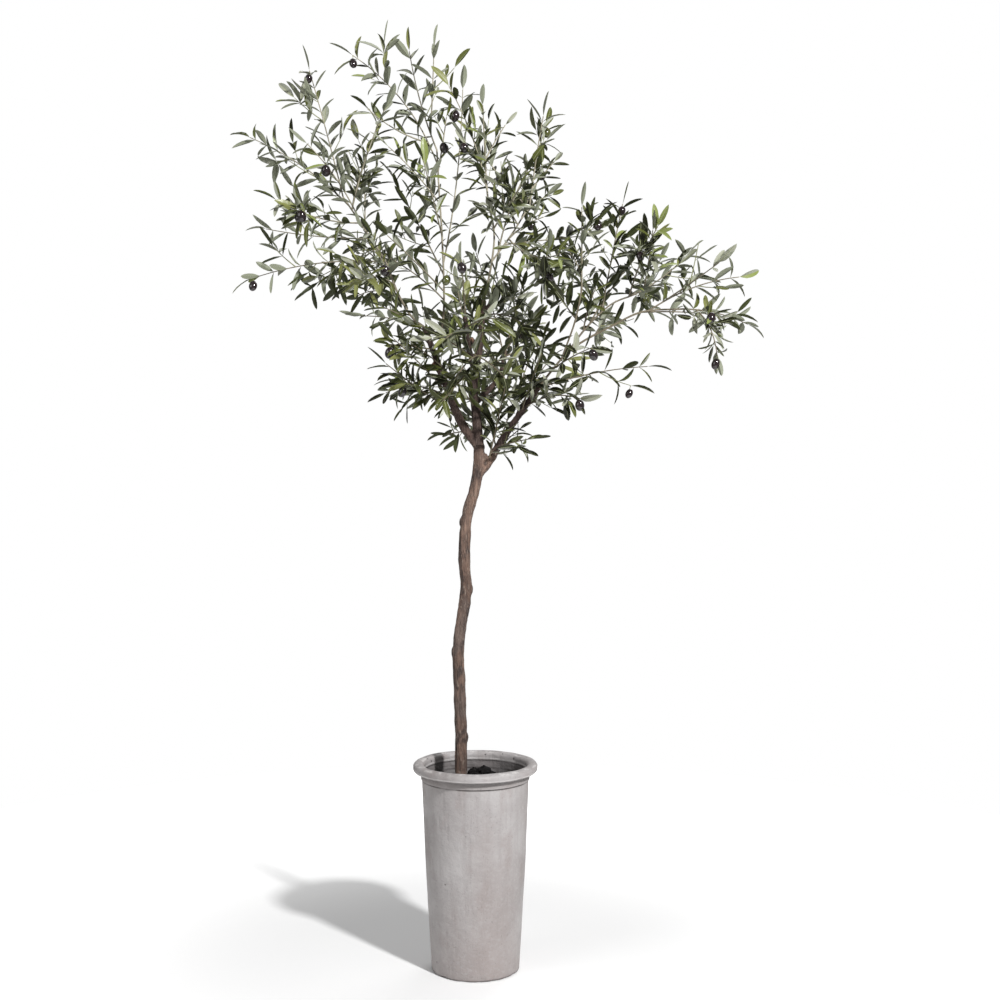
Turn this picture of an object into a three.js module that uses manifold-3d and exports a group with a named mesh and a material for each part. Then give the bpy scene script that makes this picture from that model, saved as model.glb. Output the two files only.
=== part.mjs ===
// An artificial olive tree in a tall fibre-clay pot. Millimetres, +Z up.
// The origin is the centre of the pot's flat underside. -Y faces the viewer of the front, and +X is to
// its right.

import * as THREE from "three";
import { mergeVertices } from "three/addons/utils/BufferGeometryUtils.js";
import Module from "manifold-3d";

const wasm = await Module();
wasm.setup();

// Clearance between pieces that touch
const GAP = 0.3;

// Pot
const POT_SIDES = 32;
const POT_BASE_RADIUS = 107;
const POT_NECK_RADIUS = 130.5;
const POT_BULGE = 1.6;
const POT_EDGE = 3;
const POT_WALL = 8;
const POT_FLOOR = 16;
const COLLAR_BOTTOM = 470;
const COLLAR_STEP = 2.5;
const RIM_RADIUS = 138.8;
const RIM_HALF_WIDTH = 13.4;
const RIM_HALF_HEIGHT = 11;
const RIM_CENTRE_HEIGHT = 498;
const RIM_STEPS = 9;
const RIM_END = 208;
// Heights of the rings up the pot's outside and its inside
const POT_OUTER_HEIGHTS = [115, 230, 345, COLLAR_BOTTOM];
const POT_INNER_HEIGHTS = [POT_FLOOR, 160, 300];

// Soil: a filling with a flat crown round the trunk and bark lumps on it
const SOIL_EDGE_HEIGHT = 440;
const SOIL_CROWN_HEIGHT = 455;
const SOIL_CROWN_RADIUS = 74;
const LUMP_COUNT = 6;
const LUMP_SIZE = 17;
const LUMP_SEED = 11;
const LUMP_NEAREST = 22;
const LUMP_SPREAD = 52;
const LUMP_HEAP = 14;
const HEAP_MIDDLE = [-12, 14];

// Trunk: where its centre runs, as [x, y, z], up to the fork
const TRUNK_LINE = [
  [-35, 0, 449],
  [-35, 2, 558],
  [-38, 4, 674],
  [-41, 3, 779],
  [-37, 0, 833],
  [-27, -3, 891],
  [-22, -4, 942],
  [-27, -3, 1003],
  [-19, 0, 1113],
  [-5, 1, 1163],
  [7, 0, 1221],
  [10, 0, 1277],
];
const TRUNK_FOOT_RADIUS = 16;
const TRUNK_TOP_RADIUS = 14;
const TRUNK_SIDES = 10;
const TRUNK_RINGS = 18;
const KNOT_SINK = 0.55;
const KNOT_STRETCH = 2.2;
// Knots on the trunk: where along it, which side it faces in degrees, and its size
const KNOTS = [
  [0.145, 8, 10],
  [0.28, 75, 8],
  [0.395, 176, 9],
  [0.582, 8, 9],
  [0.68, -100, 7],
  [0.778, 172, 10],
];

// Limbs: what each grows from and where, the points it passes, and its radius at both ends
const BOUGH_SIDES = 8;
const LIMB_SIDES = 6;
const RING_STEP = 55;
const BOUGH_LEAST_RADIUS = 8;
const LIMBS = {
  left_bough: {
    from: "trunk",
    at: 1,
    through: [[-29, -10, 1328], [-69, -30, 1426], [-121, -30, 1564]],
    radius: [12.5, 7.6],
  },
  centre_bough: {
    from: "trunk",
    at: 1,
    through: [[2, 0, 1366], [-3, 15, 1427], [12, 10, 1535], [22, 0, 1630]],
    radius: [13, 7.6],
  },
  right_bough: {
    from: "trunk",
    at: 0.915,
    through: [[30, 2, 1236], [72, 7, 1304], [123, 6, 1378], [157, 15, 1427]],
    radius: [11, 7.6],
  },
  back_bough: {
    from: "centre_bough",
    at: 0.3,
    through: [[31, 60, 1415], [60, 120, 1451], [73, 190, 1518]],
    radius: [8.6, 6],
  },
  front_bough: {
    from: "centre_bough",
    at: 0.47,
    through: [[-6, -60, 1484], [-15, -120, 1517], [-20, -180, 1580]],
    radius: [8.2, 6],
  },
  left_limb: {
    from: "left_bough",
    at: 1,
    through: [[-148, -30, 1585], [-184, -25, 1645], [-212, -8, 1717], [-249, 0, 1776], [-316, 0, 1876]],
    radius: [5, 3.6],
  },
  spire_limb: {
    from: "left_bough",
    at: 0.72,
    through: [[-75, -6, 1606], [-79, 10, 1774], [-86, 0, 1892], [-91, 0, 1987]],
    radius: [5, 3.6],
  },
  centre_limb: {
    from: "centre_bough",
    at: 1,
    through: [[41, -10, 1725], [46, -10, 1787], [31, 0, 1873], [26, 10, 1937]],
    radius: [5, 3.6],
  },
  centre_right_limb: {
    from: "centre_limb",
    at: 0.3,
    through: [[77, 0, 1771], [98, 10, 1803], [132, 30, 1861]],
    radius: [4.2, 3.4],
  },
  right_limb: {
    from: "right_bough",
    at: 1,
    through: [[231, 10, 1511], [329, 0, 1568], [401, -10, 1601], [499, -10, 1608]],
    radius: [5.4, 3.6],
  },
  upper_right_limb: {
    from: "right_limb",
    at: 0.25,
    through: [[266, 22, 1562], [331, 34, 1623], [383, 40, 1645]],
    radius: [4.2, 3.4],
  },
  right_centre_limb: {
    from: "right_limb",
    at: 0.2,
    through: [[240, -12, 1579], [255, -30, 1652]],
    radius: [4.2, 3.4],
  },
};

// Masses of foliage: the limb and the place on it where the stem starts, and the tips that its sprays
// reach, each with how far the spray bows above its chord. Later sprays fork from the first one.
const MASSES = {
  top_left: { limb: "spire_limb", at: 0.93, tips: [[-340, -60, 2229, 39], [-282, -150, 2094, -18]] },
  top: { limb: "spire_limb", at: 1, tips: [[-168, 70, 2293, -14], [-94, -30, 2277, -2]] },
  top_centre: { limb: "spire_limb", at: 0.47, tips: [[-30, 70, 2204, -20]] },
  top_right: { limb: "centre_limb", at: 1, tips: [[18, -110, 2119, -2], [96, 60, 2089, 4]] },
  right_top: { limb: "centre_right_limb", at: 1, tips: [[173, -60, 2114, 6], [216, 130, 2004, 2]] },
  front_top: { limb: "centre_limb", at: 0.55, tips: [[133, -190, 1906, 4]] },
  left_top: { limb: "left_limb", at: 1, tips: [[-401, -90, 2214, 3]] },
  left_upper: { limb: "left_limb", at: 0.93, tips: [[-604, 110, 2054, 21]] },
  left_front_upper: { limb: "left_limb", at: 0.8, tips: [[-499, -170, 1877, -23]] },
  left_back_upper: { limb: "left_limb", at: 0.68, tips: [[-574, 190, 1832, -9]] },
  left_lower: { limb: "left_limb", at: 0.5, tips: [[-582, -40, 1658, 23], [-454, 190, 1644, 13]] },
  left_front: { limb: "left_limb", at: 0.34, tips: [[-292, -330, 1623, 26]] },
  left_back: { limb: "left_limb", at: 0.22, tips: [[-328, 350, 1656, 24]] },
  upper_left_front: { limb: "spire_limb", at: 0.34, tips: [[-231, -200, 1792, 4]] },
  upper_left_back: { limb: "spire_limb", at: 0.42, tips: [[-232, 200, 1990, 4]] },
  upper_front: { limb: "spire_limb", at: 0.6, tips: [[-124, -230, 1967, 4]] },
  left_inner: { limb: "left_bough", at: 0.97, tips: [[-327, 50, 1590, 17]] },
  lower_left: { limb: "left_bough", at: 0.82, tips: [[-225, -180, 1514, 4]] },
  lower_left_drop: {
    limb: "left_bough",
    at: 0.42,
    tips: [[-255, -40, 1376, 40], [-197, 60, 1332, 29]],
  },
  fork_left: { limb: "left_bough", at: 0.16, tips: [[-117, 70, 1303, -2]] },
  fork_right: { limb: "right_bough", at: 0.33, tips: [[176, -70, 1304, 3]] },
  lower_right: { limb: "right_bough", at: 0.75, tips: [[280, -190, 1374, 27]] },
  right_lower: { limb: "right_bough", at: 0.96, tips: [[481, 110, 1476, 14]] },
  right_front: { limb: "right_limb", at: 0.12, tips: [[280, -340, 1507, 6]] },
  right_back: { limb: "right_limb", at: 0.45, tips: [[348, 350, 1617, 5]] },
  right_upper: { limb: "right_limb", at: 0.8, tips: [[697, 30, 1690, 23], [597, -200, 1729, -2]] },
  right_tip: { limb: "right_limb", at: 1, tips: [[707, 60, 1552, 15], [572, -100, 1441, 34]] },
  upper_right: {
    limb: "upper_right_limb",
    at: 1,
    tips: [[568, 190, 1799, -14], [422, -100, 1832, -10]],
  },
  upper_right_inner: { limb: "upper_right_limb", at: 0.6, tips: [[370, 50, 1923, 2]] },
  right_centre: { limb: "right_centre_limb", at: 1, tips: [[253, -60, 1903, 5]] },
  right_centre_back: { limb: "right_centre_limb", at: 0.6, tips: [[183, 260, 1746, -17]] },
  right_centre_front: { limb: "centre_right_limb", at: 0.4, tips: [[228, -250, 1735, -36]] },
  front_low: { limb: "front_bough", at: 0.82, tips: [[-69, -420, 1503, 11], [71, -430, 1556, 13]] },
  front_upper: { limb: "front_bough", at: 1, tips: [[-27, -370, 1722, 11]] },
  front_drop: { limb: "front_bough", at: 0.5, tips: [[94, -280, 1405, 14], [-53, -250, 1399, 16]] },
  back_right: { limb: "back_bough", at: 1, tips: [[181, 440, 1596, 18]] },
  back_upper: { limb: "back_bough", at: 0.9, tips: [[-18, 330, 1823, 9]] },
  back_left: { limb: "back_bough", at: 0.76, tips: [[-114, 440, 1583, 17]] },
  back_drop: { limb: "back_bough", at: 0.55, tips: [[34, 350, 1381, 30]] },
  centre: { limb: "centre_bough", at: 0.85, tips: [[145, 60, 1635, 26], [155, -60, 1508, 30]] },
  centre_left: { limb: "centre_bough", at: 0.72, tips: [[-60, 140, 1665, 24]] },
};

// Growth rule of a mass
const FORK_AT = 0.14;
const GOLDEN_ANGLE = THREE.MathUtils.degToRad(137.5);
const TWIG_STEP = 230;
const TWIG_FROM = 0.15;
const TWIG_TO = 0.65;
const TWIG_LENGTH = 100;
const TWIG_SHARE = 0.5;
const TWIG_ANGLE = THREE.MathUtils.degToRad(48);
const TWIG_REACH = 0.95;
const TWIG_LIFT = 0.12;
const STEM_RADIUS = [3.3, 2.5];
const TWIG_RADIUS = [2.8, 2.2];
const STEM_RINGS = 3;
const TWIG_RINGS = 1;
const TWIG_SIDES = 3;
const LEAF_LENGTH = 118;
const LEAF_WIDTH = 37;
const LEAF_THICKNESS = 3.6;
const LEAF_WIDEST = 0.42;
// Shares of a leaf's length at which its middle is tested for room
const LEAF_TESTED = [0.7, 0.2];
// Short sprays carry smaller leaves: the reach from which leaves have their full size, and the least
// share of it
const FULL_LEAF_REACH = 260;
const LEAST_LEAF = 0.62;
const LEAF_OUTER_POINTS = 4;
const LEAF_SINK = 1;
const LEAF_STEP = 52;
const LEAVES_FROM = 0.14;
const TWIG_LEAVES_FROM = 0.3;
const LEAF_SEED = 5000;
const LEAF_ANGLE = THREE.MathUtils.degToRad(46);
const LEAF_TURN_SPREAD = 0.5;
const FRUIT_RADIUS = 10.5;
const FRUIT_HALF_LENGTH = 12.5;
const FRUIT_EVERY = 8;
// How far past its spray's reach a leaf's tip may go
const TIP_SLACK = 12;
// How much nearer its own stems than any other mass's a piece of foliage stays, and how far from a limb
const SPACE_MARGIN = 4;
const LIMB_MARGIN = 2;
// How far apart the leaves of one mass stay, and how far they stay from its other twigs
const LEAF_CLEARANCE = 13;
const TWIG_CLEARANCE = 6;
// Points along stems, limbs and shoots at which room is measured, and along a twig at which it is
// tested
const STEM_SAMPLES = 14;
const LIMB_SAMPLE_STEP = 12;
const SHOOT_SAMPLES = 6;
const TWIG_TESTED = [0.35, 0.7, 1];

const UP = new THREE.Vector3(0, 0, 1);

const potMaterial = new THREE.MeshStandardMaterial({ color: 0xb5afa9, roughness: 0.85, metalness: 0 });
const soilMaterial = new THREE.MeshStandardMaterial({ color: 0x1d1a18, roughness: 1, metalness: 0 });
const trunkMaterial = new THREE.MeshStandardMaterial({ color: 0x6e584e, roughness: 0.9, metalness: 0 });
const boughMaterial = new THREE.MeshStandardMaterial({ color: 0x4a3830, roughness: 0.9, metalness: 0 });
const limbMaterial = new THREE.MeshStandardMaterial({ color: 0xa69c82, roughness: 0.8, metalness: 0 });
const leafMaterial = new THREE.MeshStandardMaterial({ color: 0x46563a, roughness: 0.6, metalness: 0 });

// A seeded stream of numbers from 0 to 1
function seededRandom(seed) {
  let state = seed | 0;
  return () => {
    state = (state + 0x6d2b79f5) | 0;
    let mixed = Math.imul(state ^ (state >>> 15), 1 | state);
    mixed = (mixed + Math.imul(mixed ^ (mixed >>> 7), 61 | mixed)) ^ mixed;
    return ((mixed ^ (mixed >>> 14)) >>> 0) / 4294967296;
  };
}

function vector([x, y, z]) {
  return new THREE.Vector3(x, y, z);
}

function mix(start, end, share) {
  return start + (end - start) * share;
}

// The solid inside a closed geometry
function solidOf(geometry) {
  geometry.deleteAttribute("normal");
  geometry.deleteAttribute("uv");
  const merged = mergeVertices(geometry, 1e-4);
  return new wasm.Manifold(
    new wasm.Mesh({
      numProp: 3,
      vertProperties: new Float32Array(merged.attributes.position.array),
      triVerts: new Uint32Array(merged.index.array),
    }),
  );
}

function joined(solids) {
  return solids.reduce((whole, solid) => whole.add(solid));
}

// The largest of the separate bodies in a solid, so that cut-off scraps are dropped
function largestBody(solid) {
  return solid.decompose().sort((a, b) => b.volume() - a.volume())[0];
}

function meshOf(name, solid, material) {
  const { vertProperties, triVerts } = solid.getMesh();
  const geometry = new THREE.BufferGeometry();
  geometry.setAttribute("position", new THREE.BufferAttribute(vertProperties, 3));
  geometry.setIndex(new THREE.BufferAttribute(triVerts, 1));
  geometry.computeVertexNormals();
  const mesh = new THREE.Mesh(geometry, material);
  mesh.name = name;
  return mesh;
}

// A closed tapering tube along a curve. Growing it makes the cutter that keeps a neighbour clear.
function taperedTube(curve, [startRadius, endRadius], sides, rings, grow = 0) {
  const geometry = new THREE.CylinderGeometry(1, 1, 1, sides, rings);
  geometry.rotateX(Math.PI / 2);
  const frames = curve.computeFrenetFrames(rings, false);
  const position = geometry.attributes.position;
  for (let i = 0; i < position.count; i += 1) {
    const along = position.getZ(i) + 0.5;
    const ring = Math.round(along * rings);
    const share = ring / rings;
    const radius = mix(startRadius, endRadius, share) + grow / Math.cos(Math.PI / sides);
    const end = ring === 0 ? -grow : ring === rings ? grow : 0;
    const point = curve
      .getPointAt(share)
      .addScaledVector(frames.tangents[ring], end)
      .addScaledVector(frames.normals[ring], position.getX(i) * radius)
      .addScaledVector(frames.binormals[ring], position.getY(i) * radius);
    position.setXYZ(i, point.x, point.y, point.z);
  }
  return solidOf(geometry);
}

function potSide(height) {
  const share = height / COLLAR_BOTTOM;
  return mix(POT_BASE_RADIUS, POT_NECK_RADIUS, share) + POT_BULGE * Math.sin(Math.PI * share);
}

function rimPoint(degrees) {
  const angle = THREE.MathUtils.degToRad(degrees);
  return [
    RIM_RADIUS + RIM_HALF_WIDTH * Math.cos(angle),
    RIM_CENTRE_HEIGHT + RIM_HALF_HEIGHT * Math.sin(angle),
  ];
}

function turned(points) {
  const geometry = new THREE.LatheGeometry(points.map(([r, z]) => new THREE.Vector2(r, z)), POT_SIDES);
  geometry.rotateX(Math.PI / 2);
  return solidOf(geometry);
}

function makePot() {
  const points = [[0, 0]];
  for (const degrees of [-90, -45, 0]) {
    const angle = THREE.MathUtils.degToRad(degrees);
    points.push([
      potSide(POT_EDGE) - POT_EDGE + POT_EDGE * Math.cos(angle),
      POT_EDGE + POT_EDGE * Math.sin(angle),
    ]);
  }
  for (const height of POT_OUTER_HEIGHTS) {
    points.push([potSide(height), height]);
  }
  const collarRadius = potSide(COLLAR_BOTTOM) + COLLAR_STEP;
  points.push([collarRadius, COLLAR_BOTTOM + COLLAR_STEP]);
  const rimStart = -THREE.MathUtils.radToDeg(Math.acos((collarRadius - RIM_RADIUS) / RIM_HALF_WIDTH));
  for (let i = 0; i <= RIM_STEPS; i += 1) {
    points.push(rimPoint(mix(rimStart, RIM_END, i / RIM_STEPS)));
  }
  for (const height of [SOIL_EDGE_HEIGHT, ...POT_INNER_HEIGHTS.toReversed()]) {
    points.push([potSide(height) - POT_WALL, height]);
  }
  points.push([0, POT_FLOOR]);
  return turned(points);
}

function makeLumps() {
  const random = seededRandom(LUMP_SEED);
  const lumps = [];
  for (let i = 0; i < LUMP_COUNT; i += 1) {
    const angle = i * GOLDEN_ANGLE;
    const distance = LUMP_NEAREST + LUMP_SPREAD * random();
    const size = LUMP_SIZE * (0.6 + 0.8 * random());
    const lump = new THREE.IcosahedronGeometry(size, 0);
    lump.scale(1.2, 1, 0.8);
    lump.rotateZ(random() * Math.PI);
    const nearTrunk = 1 - distance / SOIL_CROWN_RADIUS;
    lump.translate(
      distance * Math.cos(angle) + HEAP_MIDDLE[0],
      distance * Math.sin(angle) + HEAP_MIDDLE[1],
      SOIL_CROWN_HEIGHT + LUMP_HEAP * nearTrunk,
    );
    lumps.push(solidOf(lump));
  }
  return lumps;
}

function makeSoil(trunkCutter) {
  const points = [[0, POT_FLOOR + GAP]];
  for (const height of [POT_FLOOR + GAP, ...POT_INNER_HEIGHTS.slice(1), SOIL_EDGE_HEIGHT]) {
    points.push([potSide(height) - POT_WALL - GAP, height]);
  }
  points.push([SOIL_CROWN_RADIUS, SOIL_CROWN_HEIGHT], [0, SOIL_CROWN_HEIGHT]);
  return largestBody(joined([turned(points), ...makeLumps()]).subtract(trunkCutter));
}

function makeTrunk(curve) {
  const parts = [taperedTube(curve, [TRUNK_FOOT_RADIUS, TRUNK_TOP_RADIUS], TRUNK_SIDES, TRUNK_RINGS)];
  for (const [at, degrees, size] of KNOTS) {
    const angle = THREE.MathUtils.degToRad(degrees);
    const offset = mix(TRUNK_FOOT_RADIUS, TRUNK_TOP_RADIUS, at) - size * KNOT_SINK;
    const knot = new THREE.IcosahedronGeometry(size, 0);
    knot.scale(1, 1, KNOT_STRETCH);
    const centre = curve.getPointAt(at);
    knot.translate(
      centre.x + offset * Math.cos(angle),
      centre.y + offset * Math.sin(angle),
      centre.z,
    );
    parts.push(solidOf(knot));
  }
  const depth = 2 * SOIL_CROWN_RADIUS;
  const ground = new THREE.BoxGeometry(depth, depth, depth);
  ground.translate(0, 0, SOIL_CROWN_HEIGHT + GAP - depth / 2);
  return largestBody(joined(parts).subtract(solidOf(ground)));
}

// Every limb's curve, solid and cutter, in the order that they grow
function growLimbs(trunkCurve, trunkCutter) {
  const limbs = new Map();
  limbs.set("trunk", {
    curve: trunkCurve,
    radius: [TRUNK_FOOT_RADIUS, TRUNK_TOP_RADIUS],
    cutter: trunkCutter,
  });
  for (const [name, { from, at, through, radius }] of Object.entries(LIMBS)) {
    const start = limbs.get(from).curve.getPointAt(at);
    const curve = new THREE.CatmullRomCurve3([start, ...through.map(vector)]);
    const rings = Math.round(curve.getLength() / RING_STEP);
    const sides = radius[0] > BOUGH_LEAST_RADIUS ? BOUGH_SIDES : LIMB_SIDES;
    let solid = taperedTube(curve, radius, sides, rings);
    for (const earlier of limbs.values()) {
      solid = solid.subtract(earlier.cutter);
    }
    limbs.set(name, {
      curve,
      radius,
      solid: largestBody(solid),
      cutter: taperedTube(curve, radius, sides, rings, GAP),
    });
  }
  return limbs;
}

// A spray's stem, bowed above the chord from its root to its tip
function sprayStem(root, tip, bow) {
  const chord = tip.clone().sub(root).normalize();
  const lift = UP.clone().addScaledVector(chord, -chord.z).normalize();
  const middle = root.clone().add(tip).multiplyScalar(0.5).addScaledVector(lift, 2 * bow);
  return new THREE.QuadraticBezierCurve3(root, middle, tip);
}

// The stems of each mass, and points along them that mark its own space
function layOutMasses(limbs) {
  return Object.entries(MASSES).map(([name, { limb, at, tips }]) => {
    const stems = [];
    for (const [x, y, z, bow] of tips) {
      const root = stems.length ? stems[0].getPoint(FORK_AT) : limbs.get(limb).curve.getPointAt(at);
      stems.push(sprayStem(root, new THREE.Vector3(x, y, z), bow));
    }
    const samples = stems.flatMap((stem) => stem.getPoints(STEM_SAMPLES));
    return { name, stems, samples };
  });
}

function nearest(point, samples) {
  return Math.min(...samples.map((sample) => sample.distanceTo(point)));
}

// Whether points of a leaf or twig keep to their own mass's space and clear of every limb
function isFree(points, mass, masses, limbSamples, size) {
  return points.every((point) => {
    const own = nearest(point, mass.samples) + SPACE_MARGIN;
    return (
      masses.every((other) => other === mass || nearest(point, other.samples) > own) &&
      limbSamples.every(({ centre, radius }) => centre.distanceTo(point) > radius + LIMB_MARGIN + size)
    );
  });
}

// The direction that leaves a curve at an angle to it, turned about it
function branchDirection(tangent, turn, angle) {
  const reference = Math.abs(tangent.z) < 0.9 ? UP : new THREE.Vector3(1, 0, 0);
  const across = tangent.clone().cross(reference).normalize();
  const over = across.clone().cross(tangent);
  const outward = across.multiplyScalar(Math.cos(turn)).addScaledVector(over, Math.sin(turn));
  return tangent.clone().multiplyScalar(Math.cos(angle)).addScaledVector(outward, Math.sin(angle));
}

function sideTwigs(stem, random) {
  const length = stem.getLength();
  const count = Math.max(1, Math.round(length / TWIG_STEP));
  let turn = random() * 2 * Math.PI;
  const twigs = [];
  for (let i = 0; i < count; i += 1) {
    const at = mix(TWIG_FROM, TWIG_TO, (i + 0.8 * random()) / count);
    turn += GOLDEN_ANGLE + 0.6 * (random() - 0.5);
    const reach = Math.min(TWIG_LENGTH, TWIG_SHARE * length * (1 - at)) * (0.8 + 0.4 * random());
    const start = stem.getPoint(at);
    const direction = branchDirection(stem.getTangent(at), turn, TWIG_ANGLE);
    const middle = start.clone().addScaledVector(direction, reach / 2);
    const end = start.clone().addScaledVector(direction, reach * TWIG_REACH);
    end.addScaledVector(UP, reach * TWIG_LIFT);
    twigs.push(new THREE.QuadraticBezierCurve3(start, middle, end));
  }
  return twigs;
}

// Leaves in opposite pairs along a twig, each pair turned a quarter from the last, and one at its end
function leavesAlong(curve, from, to, scale, random) {
  const length = curve.getLength();
  const pairs = Math.max(1, Math.floor(((to - from) * length) / (LEAF_STEP * scale)));
  const firstTurn = random() * Math.PI;
  const leaves = [];
  for (let i = 0; i < pairs; i += 1) {
    const at = mix(from, to, (i + 0.5) / pairs);
    const root = curve.getPoint(at);
    const tangent = curve.getTangent(at);
    for (const side of [0, Math.PI]) {
      const turn = firstTurn + (i * Math.PI) / 2 + side + LEAF_TURN_SPREAD * (random() - 0.5);
      const angle = LEAF_ANGLE * (0.8 + 0.4 * random());
      const size = scale * (0.85 + 0.3 * random());
      leaves.push({ root, tangent, direction: branchDirection(tangent, turn, angle), size });
    }
  }
  const tangent = curve.getTangent(to);
  leaves.push({
    root: curve.getPoint(to),
    tangent,
    direction: branchDirection(tangent, firstTurn, 0.2 * random()),
    size: scale,
  });
  return leaves;
}

// A leaf's long axis, its width and its face, as a matrix
function leafFrame({ root, tangent, direction }) {
  const across = direction.clone().cross(tangent);
  if (across.length() < 0.05) {
    across.copy(direction).cross(new THREE.Vector3(0.3, 1, 0.2));
  }
  across.normalize();
  const face = across.clone().cross(direction);
  return new THREE.Matrix4().makeBasis(direction, across.negate(), face).setPosition(root);
}

// Points of a leaf from its tip to its root, the outer ones first
function leafPoints(leaf) {
  const frame = leafFrame(leaf);
  const length = LEAF_LENGTH * leaf.size;
  const wide = LEAF_WIDEST * length;
  const half = (LEAF_WIDTH * leaf.size) / 2;
  return [
    [length, 0, 0],
    [length * LEAF_TESTED[0], 0, 0],
    [wide, half, 0],
    [wide, -half, 0],
    [length * LEAF_TESTED[1], 0, 0],
  ].map((point) => vector(point).applyMatrix4(frame));
}

// A flat octahedron: root, tip, both edges and both faces
function leafSolid(leaf) {
  const blade = new THREE.OctahedronGeometry(1, 0);
  const length = LEAF_LENGTH * leaf.size;
  const position = blade.attributes.position;
  for (let i = 0; i < position.count; i += 1) {
    const x = position.getX(i);
    const along = x > 0.5 ? length : x < -0.5 ? -LEAF_SINK : LEAF_WIDEST * length;
    const width = (position.getY(i) * LEAF_WIDTH * leaf.size) / 2;
    position.setXYZ(i, along, width, (position.getZ(i) * LEAF_THICKNESS) / 2);
  }
  blade.applyMatrix4(leafFrame(leaf));
  return solidOf(blade);
}

// The middle of an olive that hangs under its twig, sunk into it
function fruitPlace(twig) {
  return twig.getPoint(0.5).addScaledVector(UP, -FRUIT_HALF_LENGTH);
}

function fruitSolid(place) {
  const fruit = new THREE.IcosahedronGeometry(1, 0);
  fruit.scale(FRUIT_RADIUS, FRUIT_RADIUS, FRUIT_HALF_LENGTH);
  fruit.translate(place.x, place.y, place.z);
  return solidOf(fruit);
}

// The part of a curve up to a share of it
function shortened(curve, to) {
  const end = curve.getPoint(to);
  const middle = curve.v0.clone().lerp(curve.v1, to);
  return new THREE.QuadraticBezierCurve3(curve.v0, middle, end);
}

function isUncrowded(points, occupied) {
  return points.every((point) => occupied.every(({ centre, size }) => centre.distanceTo(point) > size));
}

function makeMass(mass, seed, masses, limbs, limbSamples) {
  const twigRandom = seededRandom(seed);
  const leafRandom = seededRandom(seed + LEAF_SEED);
  const solids = [];
  const shoots = [];
  for (const stem of mass.stems) {
    const reach = stem.v0.distanceTo(stem.v2);
    const scale = THREE.MathUtils.clamp(reach / FULL_LEAF_REACH, LEAST_LEAF, 1);
    const main = shortened(stem, 1 - (scale * LEAF_LENGTH) / stem.getLength());
    solids.push(taperedTube(main, STEM_RADIUS, TWIG_SIDES, STEM_RINGS));
    shoots.push({ curve: main, from: LEAVES_FROM, root: stem.v0, reach, scale });
    for (const twig of sideTwigs(stem, twigRandom)) {
      const points = TWIG_TESTED.map((at) => twig.getPoint(at));
      if (isFree(points, mass, masses, limbSamples, TWIG_RADIUS[0])) {
        solids.push(taperedTube(twig, TWIG_RADIUS, TWIG_SIDES, TWIG_RINGS));
        shoots.push({ curve: twig, from: TWIG_LEAVES_FROM, root: stem.v0, reach, scale });
      }
    }
  }
  const occupied = shoots.flatMap(({ curve }) =>
    curve.getPoints(SHOOT_SAMPLES).map((centre) => ({ centre, size: TWIG_CLEARANCE })),
  );
  for (const { curve, from, root, reach, scale } of shoots) {
    for (const leaf of leavesAlong(curve, from, 1, scale, leafRandom)) {
      const points = leafPoints(leaf);
      const outer = points.slice(0, LEAF_OUTER_POINTS);
      if (
        root.distanceTo(points[0]) <= reach + TIP_SLACK &&
        isFree(points, mass, masses, limbSamples, LEAF_THICKNESS / 2) &&
        isUncrowded(outer, occupied)
      ) {
        solids.push(leafSolid(leaf));
        outer.forEach((centre) => occupied.push({ centre, size: LEAF_CLEARANCE }));
      }
    }
  }
  shoots.forEach(({ curve }, index) => {
    const place = fruitPlace(curve);
    const wanted = (seed + index) % FRUIT_EVERY === 0;
    if (wanted && isFree([place], mass, masses, limbSamples, FRUIT_HALF_LENGTH)) {
      solids.push(fruitSolid(place));
    }
  });
  let whole = joined(solids);
  for (const { cutter } of limbs.values()) {
    whole = whole.subtract(cutter);
  }
  return largestBody(whole);
}

function build() {
  const group = new THREE.Group();
  const trunkCurve = new THREE.CatmullRomCurve3(TRUNK_LINE.map(vector));
  const trunkRadius = [TRUNK_FOOT_RADIUS, TRUNK_TOP_RADIUS];
  const trunkCutter = taperedTube(trunkCurve, trunkRadius, TRUNK_SIDES, TRUNK_RINGS, GAP);
  group.add(meshOf("pot", makePot(), potMaterial));
  group.add(meshOf("soil", makeSoil(trunkCutter), soilMaterial));
  group.add(meshOf("trunk", makeTrunk(trunkCurve), trunkMaterial));
  const limbs = growLimbs(trunkCurve, trunkCutter);
  const limbSamples = [];
  for (const [name, { curve, radius, solid }] of limbs) {
    if (solid) {
      group.add(meshOf(name, solid, name.endsWith("bough") ? boughMaterial : limbMaterial));
    }
    const count = Math.ceil(curve.getLength() / LIMB_SAMPLE_STEP);
    for (let i = 0; i <= count; i += 1) {
      const share = i / count;
      limbSamples.push({ centre: curve.getPointAt(share), radius: mix(radius[0], radius[1], share) });
    }
  }
  const masses = layOutMasses(limbs);
  masses.forEach((mass, index) => {
    const solid = makeMass(mass, index + 1, masses, limbs, limbSamples);
    group.add(meshOf(`foliage_${mass.name}`, solid, leafMaterial));
  });
  return group;
}

const group = build();
export default group;
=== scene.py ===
# The looks of an artificial olive tree in a tall fibre-clay pot, built round its packed frame.
# The tables of the tree are in millimetres, as in its source; every piece is in metres.

import math

import bpy
import numpy as np
from bpy.props import FloatProperty, FloatVectorProperty, IntProperty, PointerProperty
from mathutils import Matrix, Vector, noise


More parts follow.
